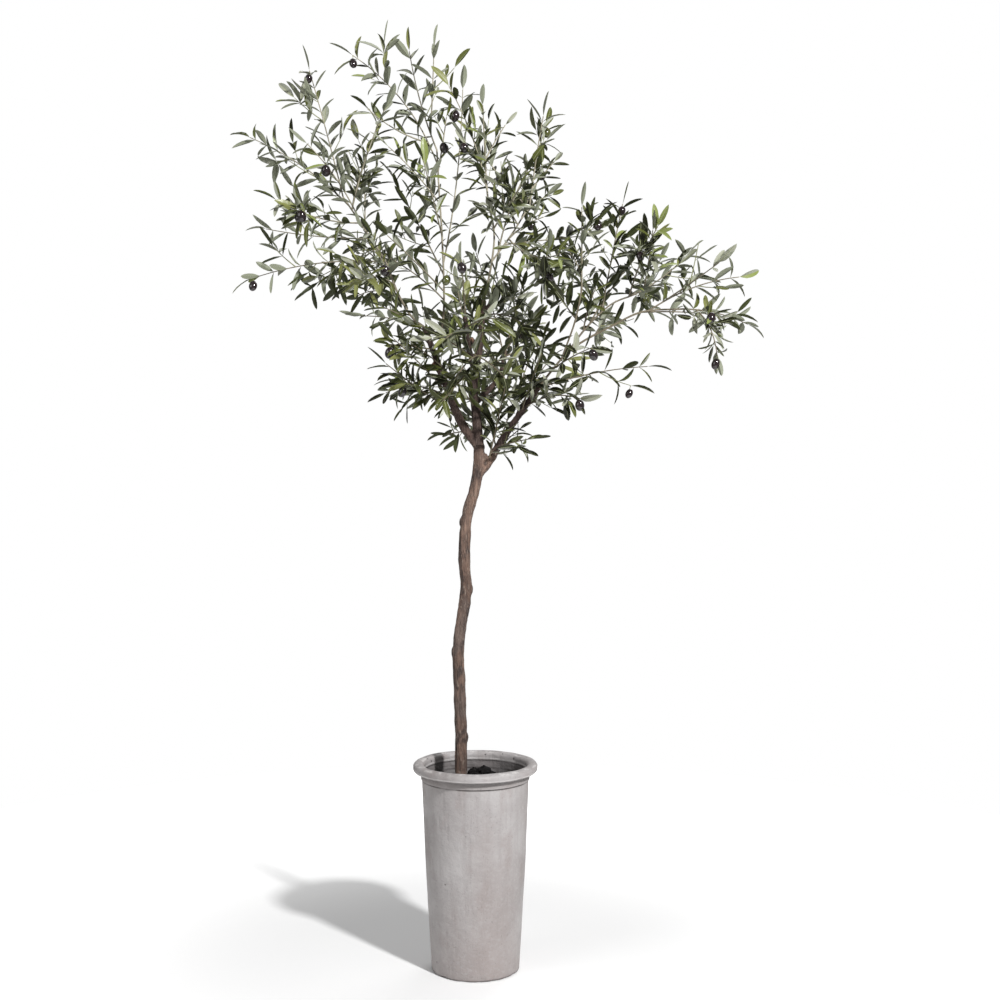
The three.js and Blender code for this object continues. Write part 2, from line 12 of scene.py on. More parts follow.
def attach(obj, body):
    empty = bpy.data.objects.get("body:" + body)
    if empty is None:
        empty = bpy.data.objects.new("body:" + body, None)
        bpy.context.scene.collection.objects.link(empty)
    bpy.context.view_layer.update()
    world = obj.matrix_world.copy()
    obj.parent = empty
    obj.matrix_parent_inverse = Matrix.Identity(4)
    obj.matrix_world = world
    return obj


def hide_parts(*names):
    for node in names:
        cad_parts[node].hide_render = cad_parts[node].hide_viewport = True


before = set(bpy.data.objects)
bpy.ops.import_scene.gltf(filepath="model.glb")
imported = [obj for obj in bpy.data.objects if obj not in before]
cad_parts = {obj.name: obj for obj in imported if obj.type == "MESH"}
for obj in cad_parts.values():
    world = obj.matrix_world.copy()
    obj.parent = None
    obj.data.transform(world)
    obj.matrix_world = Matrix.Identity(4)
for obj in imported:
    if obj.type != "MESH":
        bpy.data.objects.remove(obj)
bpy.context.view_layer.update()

bl_info = {
    "name": "Olive tree in a pot",
    "version": (1, 0, 0),
    "blender": (4, 5, 0),
    "location": "3D View > Sidebar > Olive tree",
    "description": "Pot, bark, stems, leaves, olives and stage of an artificial olive tree",
    "category": "Object",
}

BODY = "root"
MM = 0.001
UP = np.array((0.0, 0.0, 1.0))

# Pot, in millimetres
POT_SIDES = 128
POT_BASE_RADIUS = 107
POT_NECK_RADIUS = 130.5
POT_BULGE = 1.6
POT_EDGE = 3
POT_WALL = 8
POT_FLOOR = 16
POT_WALL_AT_TOP = 5
POT_SIDE_STEP = 18
POT_EDGE_TURN = 18
# Heights of the inner wall's rings, from the rim down, and the radius that closes the floor
POT_INSIDE = (480, 462, 446, 400, 300, 160, POT_FLOOR)
POT_FLOOR_MIDDLE = 20
COLLAR_BOTTOM = 470
COLLAR_STEP = 2.5
# The collar's rings: how far each stands in from its face, and its height above the collar's bottom
COLLAR_RINGS = [(0.4, -0.4), (0, 1), (0, 9), (1, 16)]
RIM_RADIUS = 138.8
RIM_HALF_WIDTH = 13.4
RIM_HALF_HEIGHT = 11
RIM_CENTRE_HEIGHT = 498
RIM_STEPS = 26
RIM_START = -112
RIM_END = 190
RIM_SQUARE_BELOW = 0.68
RIM_SQUARE_ABOVE = 0.86
# Waves of the wall: their size in metres and their share of the unevenness. They fade in over the foot.
WAVES = ((0.11, 1.0), (0.035, 0.45))
FOOT_HEIGHT = 50
# Chips out of the foot: how deep and high they go, how closely they follow and how common they are
CHIP_DEPTH = 3.4
CHIP_HEIGHT = 5
CHIP_GRAIN = 62
CHIP_SHARE = 0.12
# How much of its depth a chip also rises, and the share of the base radius within which nothing is chipped
CHIP_RISE = 0.6
CHIP_FREE = 0.9

# Soil: the level of the filling, the heap beside the trunk and the lumps on it
SOIL_BOTTOM = 415
SOIL_LEVEL = 447
SOIL_RADIUS = 120
HEAP_MIDDLE = (16, 20)
HEAP_HEIGHT = 33
HEAP_SPREAD = 42
SOIL_SIDES = 64
# The rings of its surface as shares of its radius, and how much narrower it is at its bottom
SOIL_RINGS = (1, 0.94, 0.86, 0.77, 0.67, 0.56, 0.45, 0.34, 0.22, 0.1)
SOIL_TAPER = 2
SOIL_RELIEF = 3
SOIL_GRAIN = 90
LUMP_SEED = 5
# Lumps stay this far from the filling's edge. They lie so many of their sizes high, and more on the heap.
LUMP_MARGIN = 8
LUMP_RISE = 0.3
LUMP_STACK = 0.6
# From and to which size they are, how much more on the heap, and the longest and the flattest shape
LUMP_SIZE = (3.5, 8.5)
LUMP_GROWTH = 0.9
LUMP_LONGEST = 1.5
LUMP_FLATTEST = 0.6
# Their relief, how closely it follows, and how far apart two lumps are in it
LUMP_RELIEF = 0.55
LUMP_GRAIN = 1.7
LUMP_STEP = 7.3

# Trunk: where its centre runs, as in the source, and its knots: where along it, which way each faces in
# degrees, and its size
TRUNK_LINE = [
    (-35, 0, 449), (-35, 2, 558), (-38, 4, 674), (-41, 3, 779), (-37, 0, 833), (-27, -3, 891),
    (-22, -4, 942), (-27, -3, 1003), (-19, 0, 1113), (-5, 1, 1163), (7, 0, 1221), (10, 0, 1277),
]
TRUNK_RADIUS = (16, 14)
KNOTS = [(0.145, 8, 9), (0.28, 75, 8), (0.395, 176, 8), (0.582, 8, 8), (0.68, -100, 7), (0.778, 172, 9)]
KNOT_SINK = 0.55
KNOT_STRETCH = 1.8
# Shares of the source's radius that the skin and the long stems have
SKIN_SHARE = 0.94
STEM_SHARE = 0.55
# How much they swell, over which length, and how far apart two limbs are in that pattern
SKIN_SWELL = 0.09
STEM_SWELL = 0.16
SWELL_LENGTH = 45
SKIN_SEED_STEP = 3.7
STEM_SEED_STEP = 2.3
LIMB_RING_STEP = 9
# How dark the shaded patches of the long stems and of the twigs are, as a share of their colour
STEM_SHADE = 0.62
TWIG_SHADE = 0.6
# Sides of the round parts
BOUGH_SIDES = 20
STUB_SIDES = 12
STEM_SIDES = 10
TWIG_SIDES = 6
# The spacing of a twig's rings, and the share of its radius that is left at its tip
TWIG_RING_STEP = 22
TWIG_TAPER = 0.55
# The direction from which a tube's first ring is turned. No limb takes it.
TUBE_START = (0.31, 0.77, 0.55)
# Balls that close the fork, by their place along the trunk, and their size as a share of the skin's there
FORK_BALLS = (0.97, 1)
FORK_BALL_SIZE = 1.04

# Cut stubs: the limb, the place on it, the way that each points, its length and radius, and if it is bare
STUBS = [
    ("centre_bough", 0.66, (-0.45, -0.5, 0.75), 30, 6, True),
    ("centre_bough", 0.9, (0.5, -0.5, 0.7), 26, 4.5, False),
    ("right_bough", 0.14, (-0.15, -0.3, 0.95), 17, 5, False),
    ("right_bough", 0.62, (0.2, 0.6, 0.75), 26, 4.5, False),
    ("left_bough", 0.62, (-0.6, -0.3, 0.75), 28, 5.5, True),
    ("left_bough", 0.86, (-0.6, 0.5, 0.6), 24, 4, False),
]
STUB_TAPER = (1.3, 1, 0.9)
# The bark's relief: how closely its ridges and its flakes follow around the trunk and along it, how far up
# each pattern is moved, the share of each, and the roughness, the gap and the number of their layers
RIDGE_GRAIN = (170, 14, 0)
FLAKE_GRAIN = (55, 34, 5)
RIDGE_SHARE = 0.5
FLAKE_SHARE = 0.55
RELIEF_LAYERS = (1.0, 2.0, 3)

# Limbs, as in the source: what each grows from and where, the points it passes, and its radius at both ends
LIMBS = {
    "left_bough": ("trunk", 1, [(-29, -10, 1328), (-69, -30, 1426), (-121, -30, 1564)], (12.5, 7.6)),
    "centre_bough": (
        "trunk", 1, [(2, 0, 1366), (-3, 15, 1427), (12, 10, 1535), (22, 0, 1630)], (13, 7.6),
    ),
    "right_bough": (
        "trunk", 0.915, [(30, 2, 1236), (72, 7, 1304), (123, 6, 1378), (157, 15, 1427)], (11, 7.6),
    ),
    "back_bough": ("centre_bough", 0.3, [(31, 60, 1415), (60, 120, 1451), (73, 190, 1518)], (8.6, 6)),
    "front_bough": ("centre_bough", 0.47, [(-6, -60, 1484), (-15, -120, 1517), (-20, -180, 1580)], (8.2, 6)),
    "left_limb": (
        "left_bough", 1,
        [(-148, -30, 1585), (-184, -25, 1645), (-212, -8, 1717), (-249, 0, 1776), (-316, 0, 1876)],
        (5, 3.6),
    ),
    "spire_limb": (
        "left_bough", 0.72, [(-75, -6, 1606), (-79, 10, 1774), (-86, 0, 1892), (-91, 0, 1987)], (5, 3.6),
    ),
    "centre_limb": (
        "centre_bough", 1, [(41, -10, 1725), (46, -10, 1787), (31, 0, 1873), (26, 10, 1937)], (5, 3.6),
    ),
    "centre_right_limb": ("centre_limb", 0.3, [(77, 0, 1771), (98, 10, 1803), (132, 30, 1861)], (4.2, 3.4)),
    "right_limb": (
        "right_bough", 1, [(231, 10, 1511), (329, 0, 1568), (401, -10, 1601), (499, -10, 1608)], (5.4, 3.6),
    ),
    "upper_right_limb": (
        "right_limb", 0.25, [(266, 22, 1562), (331, 34, 1623), (383, 40, 1645)], (4.2, 3.4),
    ),
    "right_centre_limb": ("right_limb", 0.2, [(240, -12, 1579), (255, -30, 1652)], (4.2, 3.4)),
}

# Masses of foliage, as in the source: the limb and the place on it where the stem starts, and the tips that
# its sprays reach, each with how far the spray bows above its chord. Later sprays fork from the first one.
MASSES = {
    "top_left": ("spire_limb", 0.93, [(-340, -60, 2229, 39), (-282, -150, 2094, -18)]),
    "top": ("spire_limb", 1, [(-168, 70, 2293, -14), (-94, -30, 2277, -2)]),
    "top_centre": ("spire_limb", 0.47, [(-30, 70, 2204, -20)]),
    "top_right": ("centre_limb", 1, [(18, -110, 2119, -2), (96, 60, 2089, 4)]),
    "right_top": ("centre_right_limb", 1, [(173, -60, 2114, 6), (216, 130, 2004, 2)]),
    "front_top": ("centre_limb", 0.55, [(133, -190, 1906, 4)]),
    "left_top": ("left_limb", 1, [(-401, -90, 2214, 3)]),
    "left_upper": ("left_limb", 0.93, [(-604, 110, 2054, 21)]),
    "left_front_upper": ("left_limb", 0.8, [(-499, -170, 1877, -23)]),
    "left_back_upper": ("left_limb", 0.68, [(-574, 190, 1832, -9)]),
    "left_lower": ("left_limb", 0.5, [(-582, -40, 1658, 23), (-454, 190, 1644, 13)]),
    "left_front": ("left_limb", 0.34, [(-292, -330, 1623, 26)]),
    "left_back": ("left_limb", 0.22, [(-328, 350, 1656, 24)]),
    "upper_left_front": ("spire_limb", 0.34, [(-231, -200, 1792, 4)]),
    "upper_left_back": ("spire_limb", 0.42, [(-232, 200, 1990, 4)]),
    "upper_front": ("spire_limb", 0.6, [(-124, -230, 1967, 4)]),
    "left_inner": ("left_bough", 0.97, [(-327, 50, 1590, 17)]),
    "lower_left": ("left_bough", 0.82, [(-225, -180, 1514, 4)]),
    "lower_left_drop": ("left_bough", 0.42, [(-255, -40, 1376, 40), (-197, 60, 1332, 29)]),
    "fork_left": ("left_bough", 0.16, [(-117, 70, 1303, -2)]),
    "fork_right": ("right_bough", 0.33, [(176, -70, 1304, 3)]),
    "lower_right": ("right_bough", 0.75, [(280, -190, 1374, 27)]),
    "right_lower": ("right_bough", 0.96, [(481, 110, 1476, 14)]),
    "right_front": ("right_limb", 0.12, [(280, -340, 1507, 6)]),
    "right_back": ("right_limb", 0.45, [(348, 350, 1617, 5)]),
    "right_upper": ("right_limb", 0.8, [(697, 30, 1690, 23), (597, -200, 1729, -2)]),
    "right_tip": ("right_limb", 1, [(707, 60, 1552, 15), (572, -100, 1441, 34)]),
    "upper_right": ("upper_right_limb", 1, [(568, 190, 1799, -14), (422, -100, 1832, -10)]),
    "upper_right_inner": ("upper_right_limb", 0.6, [(370, 50, 1923, 2)]),
    "right_centre": ("right_centre_limb", 1, [(253, -60, 1903, 5)]),
    "right_centre_back": ("right_centre_limb", 0.6, [(183, 260, 1746, -17)]),
    "right_centre_front": ("centre_right_limb", 0.4, [(228, -250, 1735, -36)]),
    "front_low": ("front_bough", 0.82, [(-69, -420, 1503, 11), (71, -430, 1556, 13)]),
    "front_upper": ("front_bough", 1, [(-27, -370, 1722, 11)]),
    "front_drop": ("front_bough", 0.5, [(94, -280, 1405, 14), (-53, -250, 1399, 16)]),
    "back_right": ("back_bough", 1, [(181, 440, 1596, 18)]),
    "back_upper": ("back_bough", 0.9, [(-18, 330, 1823, 9)]),
    "back_left": ("back_bough", 0.76, [(-114, 440, 1583, 17)]),
    "back_drop": ("back_bough", 0.55, [(34, 350, 1381, 30)]),
    "centre": ("centre_bough", 0.85, [(145, 60, 1635, 26), (155, -60, 1508, 30)]),
    "centre_left": ("centre_bough", 0.72, [(-60, 140, 1665, 24)]),
}

# Growth rule of a mass, as in the source
FORK_AT = 0.14
GOLDEN_ANGLE = math.radians(137.5)
# A direction is upright from this rise on
UPRIGHT = 0.9
# How far chance moves a twig along what carries it and turns it, and from and to which share of its reach
PLACE_SCATTER = 0.8
TURN_SCATTER = 0.6
TWIG_LENGTHS = (0.8, 1.2)
# How far chance turns a leaf of a pair, and how far the leaf at a shoot's end leans, in radians
PAIR_SCATTER = 0.5
END_LEAN = 0.2
# From and to which share of the lean and of the length a leaf has
LEAF_LEANS = (0.75, 1.25)
LEAF_LENGTHS = (0.78, 1.12)
# How far a twig goes along its own way and how far up, as shares of its reach
TWIG_ANGLE = math.radians(48)
TWIG_REACH = 0.95
TWIG_LIFT = 0.12
# Where along a shoot its room is tested, and how much it needs
TWIG_TESTED = (0.35, 0.7, 1)
TWIG_ROOM = 2.8
LEAF_TESTED = (0.25, 0.6, 1)
# The reach from which a spray's leaves are full grown, and the smallest that they are on a shorter one
FULL_LEAF_REACH = 260
SMALLEST_LEAF = 0.82
# The share of a leaf's length that a stem ends short of its tip
TIP_SHARE = 0.9
# From which share of a stem, of a side twig and of a finer one leaves grow, and how thick the last kind is
LEAVES_FROM = (0.06, 0.16, 0.3)
FINER_SHARE = 0.8
# How far a leaf may pass its spray's reach, and the room that twigs leave to the next mass and to a limb
TIP_SLACK = 12
SPACE_MARGIN = 4
LIMB_MARGIN = 2
STEM_SAMPLES = 14
LIMB_SAMPLE_STEP = 12
LEAF_SEED = 5000
# Orders of side twigs: how far apart, from and to which share of what carries them, the longest, and their
# share of what is left of it. The first is the source's own.
TWIG_ORDERS = [(230, 0.15, 0.65, 100, 0.5), (80, 0.1, 0.8, 75, 0.32), (42, 0.3, 0.8, 42, 0.5)]

# The share of its leaves that a mass without fine twigs keeps
FEWEST_LEAVES = 0.6
# How full of fine twigs a mass is, where it isn't 1. These values weren't chosen by hand: a search for the
# density of the photograph's crown gave them, apart from left_top, left_upper and left_lower.
FULLNESS = {
    "top_left": 0.5, "top": 0, "top_centre": 0, "top_right": 0, "right_top": 0.75, "front_top": 1.4,
    "left_top": 0.75, "left_upper": 0.5, "left_front_upper": 1.9, "left_back_upper": 0, "left_lower": 0.5,
    "left_front": 1.9, "left_back": 0.25, "upper_left_front": 0, "upper_left_back": 0.5,
    "upper_front": 0.25, "left_inner": 1.9, "lower_left": 1.4, "lower_left_drop": 1.9, "fork_left": 0.75,
    "fork_right": 0.75, "lower_right": 1.9, "right_lower": 0, "right_front": 0, "right_back": 0.5,
    "right_upper": 0, "right_tip": 1.4, "upper_right": 0.5, "upper_right_inner": 1.9,
    "right_centre": 1.9, "right_centre_back": 0.75, "right_centre_front": 1.4, "front_low": 0,
    "front_upper": 0.25, "front_drop": 1.9, "back_right": 1.9, "back_left": 1.9, "back_drop": 1.4,
    "centre": 1.9, "centre_left": 1.9, "left_inner_0": 1.8, "left_inner_1": 1.8, "left_inner_2": 1.8,
    "left_inner_3": 1.8, "top_inner_0": 1.8, "top_inner_1": 1.8, "top_inner_2": 1.8, "top_inner_3": 1.8,
    "top_inner_4": 1.8, "top_inner_5": 1.8, "top_inner_6": 0, "right_inner_0": 0, "right_inner_1": 0.4,
    "right_inner_2": 1.8, "right_inner_3": 1.8, "right_inner_4": 1.8, "right_inner_5": 1.8,
    "right_inner_6": 1.8, "middle_inner_0": 1.8, "middle_inner_1": 1.8, "middle_inner_3": 1.8,
    "middle_inner_4": 1.8, "middle_inner_5": 1.8, "middle_inner_6": 0.4, "middle_inner_7": 1.8,
    "centre_inner_0": 1.8, "centre_inner_2": 1.8, "centre_inner_4": 1.8, "centre_inner_5": 1.8,
    "centre_inner_6": 1.8, "centre_inner_7": 1.8, "centre_inner_8": 0.4,
}

# Sprays that only this script adds, between the masses and within their reach: the limb, the place on it
# where each starts, its tip and its bow. The region names the piece that holds their leaves. The same search
# picked them from random candidates.
INNER_SPRAYS = {
    "left": [
        ("left_limb", 0.75, -270, 50, 2000, 15),
        ("centre_bough", 0.25, -190, -170, 1540, 25),
        ("front_bough", 0.45, -260, -210, 1620, 10),
        ("left_limb", 0.35, -290, -70, 1830, 5),
        ("left_bough", 0.45, -220, -190, 1560, 5),
        ("spire_limb", 0.3, -310, 0, 1770, 20),
        ("left_limb", 0.8, -430, -120, 2020, 20),
    ],
    "top": [
        ("centre_right_limb", 0.15, 160, -100, 1980, 20),
        ("left_limb", 0.9, -180, -110, 2120, 15),
        ("centre_right_limb", 0.75, 220, 140, 1900, 20),
        ("centre_right_limb", 0.95, -40, 130, 2090, -10),
        ("centre_right_limb", 0.65, -50, 50, 2040, 5),
        ("centre_right_limb", 0.85, 150, 140, 1920, 15),
        ("spire_limb", 0.9, -60, -70, 2100, -5),
    ],
    "right": [
        ("right_limb", 0.75, 620, 130, 1600, 5),
        ("upper_right_limb", 0.4, 430, 180, 1780, 10),
        ("upper_right_limb", 0.95, 450, -130, 1830, 15),
        ("centre_right_limb", 0.3, 310, 10, 1790, 0),
        ("upper_right_limb", 0.95, 500, 230, 1670, 20),
        ("upper_right_limb", 0.3, 310, -30, 1700, 10),
        ("centre_right_limb", 0.4, 210, -40, 1830, 15),
    ],
    "middle": [
        ("right_bough", 0.15, 100, -130, 1540, 0),
        ("right_bough", 0.3, 150, 110, 1540, 0),
        ("right_bough", 0.7, 170, -190, 1530, 5),
        ("front_bough", 0.25, -90, -270, 1360, 0),
        ("back_bough", 0.85, 150, 240, 1790, 5),
        ("right_bough", 0.3, 0, 170, 1480, -5),
        ("right_bough", 0.15, 140, 100, 1340, 10),
        ("front_bough", 0.4, -50, -130, 1700, 0),
    ],
    "centre": [
        ("back_bough", 0.9, 240, 350, 1540, 10),
        ("centre_limb", 0.85, -90, -90, 2170, 20),
        ("spire_limb", 0.75, -240, -110, 2010, 10),
        ("left_bough", 0.3, -250, -120, 1510, -5),
        ("right_bough", 0.6, 210, 150, 1520, 15),
        ("left_limb", 0.4, -350, 100, 1800, 15),
        ("back_bough", 0.15, 260, 130, 1460, -5),
        ("right_centre_limb", 0.95, 190, 0, 1770, 25),
        ("left_limb", 0.9, -230, 30, 2040, 10),
    ],
}

# An olive hangs at the foremost place that is about so near to where the photograph shows it, in its pixels.
# A place counts as further off by so many pixels for each millimetre that it is further back, and for each
# olive that hangs there already.
OLIVE_NEAR = 9
OLIVE_DEPTH_SHARE = 0.05
OLIVE_TAKEN = 30
# The places on a shoot where an olive may hang, and how far below its place its middle is, in millimetres
OLIVE_PLACES = (0.2, 0.4, 0.6, 0.8, 1)
OLIVE_DROP = 16
# One shoot in so many that reaches further back than this bears an olive too
FRUIT_EVERY = 24
FRUIT_BEHIND = 60
# Where the photograph shows olives, in its pixels
OLIVES_IN_PHOTO = [
    (301, 88), (343, 78), (452, 112), (457, 115), (446, 153), (453, 151), (553, 133), (332, 175),
    (293, 216), (292, 221), (259, 294), (388, 261), (460, 266), (453, 273), (532, 217), (602, 211),
    (633, 207), (646, 262), (541, 275), (710, 321), (645, 308), (717, 359), (641, 383), (607, 337),
    (576, 398), (395, 399), (390, 356), (468, 364),
]

# The camera that took the photograph
PHOTO_SIZE = 1000
SENSOR = 36.0
LENS = 57.6
CAMERA_PLACE = (60, -3865, 1346)
CAMERA_DOWN = math.radians(2.92)


def mix(start, end, share):
    return start + (end - start) * share


def unit(vector):
    return vector / np.linalg.norm(vector)


def seeded_random(seed):
    """The source's stream of numbers from 0 to 1"""
    whole = 0xFFFFFFFF
    state = seed & whole

    def draw():
        nonlocal state
        state = (state + 0x6D2B79F5) & whole
        mixed = ((state ^ (state >> 15)) * (1 | state)) & whole
        mixed = ((mixed + (((mixed ^ (mixed >> 7)) * (61 | mixed)) & whole)) & whole) ^ mixed
        return (mixed ^ (mixed >> 14)) / 4294967296

    return draw


class Limb:
    """A smooth curve through points, read by shares of its length"""

    DIVISIONS = 200

    def __init__(self, points, radius):
        self.points = [np.array(point, float) for point in points]
        self.radius = radius
        table = [self.knot(i / self.DIVISIONS) for i in range(self.DIVISIONS + 1)]
        steps = np.linalg.norm(np.diff(table, axis=0), axis=1)
        self.lengths = np.concatenate(([0], np.cumsum(steps)))
        self.length = self.lengths[-1]

    def knot(self, share):
        points = self.points
        place = (len(points) - 1) * share
        index = min(int(place), len(points) - 2)
        weight = place - index
        start, end = points[index], points[index + 1]
        before = points[index - 1] if index else 2 * start - end
        after = points[index + 2] if index + 2 < len(points) else 2 * end - start
        spans = ((before, start), (start, end), (end, after))
        near, own, far = (np.linalg.norm(b - a) ** 0.5 for a, b in spans)
        first = (start - before) / near - (end - before) / (near + own) + (end - start) / own
        last = (end - start) / own - (after - start) / (own + far) + (after - end) / far
        first, last = first * own, last * own
        square = -3 * start + 3 * end - 2 * first - last
        cube = 2 * start - 2 * end + first + last
        return start + weight * (first + weight * (square + weight * cube))

    def point(self, share):
        target = share * self.length
        index = min(int(np.searchsorted(self.lengths, target, side="right")) - 1, self.DIVISIONS - 1)
        span = self.lengths[index + 1] - self.lengths[index]
        return self.knot((index + (target - self.lengths[index]) / span) / self.DIVISIONS)

    def thickness(self, share):
        return mix(self.radius[0], self.radius[1], share)


class Shoot:
    """A quadratic curve from a root over a middle to an end"""

    DIVISIONS = 40

    def __init__(self, start, middle, end):
        self.start, self.middle, self.end = start, middle, end
        points = np.array([self.point(i / self.DIVISIONS) for i in range(self.DIVISIONS + 1)])
        self.length = np.linalg.norm(np.diff(points, axis=0), axis=1).sum()

    def point(self, share):
        rest = 1 - share
        return rest * rest * self.start + 2 * rest * share * self.middle + share * share * self.end

    def tangent(self, share):
        return unit((1 - share) * (self.middle - self.start) + share * (self.end - self.middle))

    def shortened(self, share):
        return Shoot(self.start, mix(self.start, self.middle, share), self.point(share))


def grow_limbs():
    """The trunk and every limb by name, in the order that they grow"""
    limbs = {"trunk": Limb(TRUNK_LINE, TRUNK_RADIUS)}
    for name, (parent, at, through, radius) in LIMBS.items():
        limbs[name] = Limb([limbs[parent].point(at), *through], radius)
    return limbs


def spray_stem(root, tip, bow):
    """A spray's stem, bowed above the chord from its root to its tip"""
    chord = unit(tip - root)
    lift = unit(UP - chord * chord[2])
    return Shoot(root, (root + tip) / 2 + lift * 2 * bow, tip)


def inner_name(region, number):
    return f"{region}_inner_{number}"


def lay_out_masses(limbs):
    """The stems of each mass and of each inner spray"""
    table = dict(MASSES)
    for region, sprays in INNER_SPRAYS.items():
        for number, (limb, at, *tip) in enumerate(sprays):
            table[inner_name(region, number)] = (limb, at, [tip])
    masses = {}
    for name, (limb, at, tips) in table.items():
        stems = []
        for x, y, z, bow in tips:
            root = stems[0].point(FORK_AT) if stems else limbs[limb].point(at)
            stems.append(spray_stem(root, np.array((x, y, z), float), bow))
        masses[name] = stems
    return masses


class Room:
    """Tells whether a leaf or twig keeps to its own mass's space and clear of every limb"""

    def __init__(self, limbs, masses):
        places, owners = [], []
        for owner, stems in enumerate(masses.values()):
            for stem in stems:
                places += [stem.point(i / STEM_SAMPLES) for i in range(STEM_SAMPLES + 1)]
                owners += [owner] * (STEM_SAMPLES + 1)
        self.places, self.owners = np.array(places), np.array(owners)
        centres, radii = [], []
        for limb in limbs.values():
            count = math.ceil(limb.length / LIMB_SAMPLE_STEP)
            centres += [limb.point(i / count) for i in range(count + 1)]
            radii += [limb.thickness(i / count) for i in range(count + 1)]
        self.centres, self.radii = np.array(centres), np.array(radii)

    def is_free(self, points, owner, size, margin):
        points = np.array(points)
        to_limbs = np.linalg.norm(points[:, None] - self.centres[None], axis=2)
        if (to_limbs <= self.radii + LIMB_MARGIN + size).any():
            return False
        reach = np.linalg.norm(points[:, None] - self.places[None], axis=2)
        own = reach[:, self.owners == owner].min(axis=1) + margin
        return bool((reach[:, self.owners != owner].min(axis=1) > own).all())


def branch_direction(tangent, turn, angle):
    """The direction that leaves a curve at an angle to it, turned about it"""
    reference = UP if abs(tangent[2]) < UPRIGHT else np.array((1.0, 0.0, 0.0))
    across = unit(np.cross(tangent, reference))
    over = np.cross(across, tangent)
    outward = across * math.cos(turn) + over * math.sin(turn)
    return tangent * math.cos(angle) + outward * math.sin(angle)


def side_twigs(carrier, order, random, fullness=1):
    """Twigs that turn about a shoot by the golden angle, from one order of the table"""
    step, start, stop, longest, share = order
    count = math.floor(fullness * carrier.length / step + 0.5)
    if fullness == 1:
        count = max(1, count)
    turn = random() * 2 * math.pi
    twigs = []
    for i in range(count):
        at = mix(start, stop, (i + PLACE_SCATTER * random()) / count)
        turn += GOLDEN_ANGLE + TURN_SCATTER * (random() - 0.5)
        reach = min(longest, share * carrier.length * (1 - at)) * mix(*TWIG_LENGTHS, random())
        root = carrier.point(at)
        direction = branch_direction(carrier.tangent(at), turn, TWIG_ANGLE)
        end = root + direction * reach * TWIG_REACH + UP * reach * TWIG_LIFT
        twigs.append(Shoot(root, root + direction * reach / 2, end))
    return twigs


class Leaf:
    """Where a leaf grows from, the way of its shoot and its own, and its length"""

    def __init__(self, root, tangent, direction, length):
        self.root, self.tangent, self.direction, self.length = root, tangent, direction, length


def leaves_along(curve, start, step, length, angle, random):
    """Leaves in opposite pairs along a shoot, each pair turned a quarter further, and one at its end"""
    pairs = max(1, int((1 - start) * curve.length / step))
    first_turn = random() * math.pi
    leaves = []
    for i in range(pairs):
        at = mix(start, 1, (i + 0.5) / pairs)
        root, tangent = curve.point(at), curve.tangent(at)
        for side in (0, math.pi):
            turn = first_turn + i * math.pi / 2 + side + PAIR_SCATTER * (random() - 0.5)
            lean = angle * mix(*LEAF_LEANS, random())
            size = length * mix(*LEAF_LENGTHS, random())
            leaves.append(Leaf(root, tangent, branch_direction(tangent, turn, lean), size))
    tangent = curve.tangent(1)
    direction = branch_direction(tangent, first_turn, END_LEAN * random())
    leaves.append(Leaf(curve.end, tangent, direction, length))
    return leaves


class Crown:
    """Every shoot and leaf of the crown"""

    def __init__(self, settings):
        self.limbs = grow_limbs()
        self.masses = lay_out_masses(self.limbs)
        self.room = Room(self.limbs, self.masses)
        self.shoots, self.leaves = [], []
        for owner, (name, stems) in enumerate(self.masses.items()):
            self.grow_mass(owner, name, stems, settings)

    def grow_mass(self, owner, name, stems, settings):
        own_length = settings.leaf_length / MM
        random, fine_random = seeded_random(owner + 1), seeded_random(owner + 1 + 2 * LEAF_SEED)
        leaf_random = seeded_random(owner + 1 + LEAF_SEED)
        fullness = FULLNESS.get(name, 1)
        twig_radius = settings.twig_radius / MM
        shoots = []
        for stem in stems:
            reach = np.linalg.norm(stem.end - stem.start)
            length = own_length * min(1, max(SMALLEST_LEAF, reach / FULL_LEAF_REACH))
            main = stem.shortened(1 - TIP_SHARE * length / stem.length)
            shoots.append((main, LEAVES_FROM[0], settings.stem_radius / MM, stem.start, reach, length))
            twigs = side_twigs(stem, TWIG_ORDERS[0], random)
            twigs = [twig for twig in twigs if self.has_room(twig, owner, SPACE_MARGIN)]
            finer = side_twigs(main, TWIG_ORDERS[1], fine_random, fullness)
            for twig in twigs:
                finer += side_twigs(twig, TWIG_ORDERS[2], fine_random, fullness)
            finer = [twig for twig in finer if self.has_room(twig, owner, -settings.overlap / MM)]
            for twig in twigs:
                shoots.append((twig, LEAVES_FROM[1], twig_radius, stem.start, reach, length))
            for twig in finer:
                shoots.append((twig, LEAVES_FROM[2], FINER_SHARE * twig_radius, stem.start, reach, length))
        step = settings.pair_step / MM / mix(FEWEST_LEAVES, 1, min(1, fullness))
        for curve, start, radius, root, reach, length in shoots:
            spray = len(self.shoots)
            self.shoots.append((curve, radius))
            for leaf in leaves_along(curve, start, step, length, settings.leaf_angle, leaf_random):
                points = [leaf.root + leaf.direction * leaf.length * share for share in LEAF_TESTED]
                inside = np.linalg.norm(points[2] - root) <= reach + TIP_SLACK
                if inside and self.room.is_free(points, owner, 0, -settings.overlap / MM):
                    leaf.spray, leaf.mass = spray, name
                    self.leaves.append(leaf)

    def has_room(self, twig, owner, margin):
        points = [twig.point(at) for at in TWIG_TESTED]
        return self.room.is_free(points, owner, TWIG_ROOM, margin)


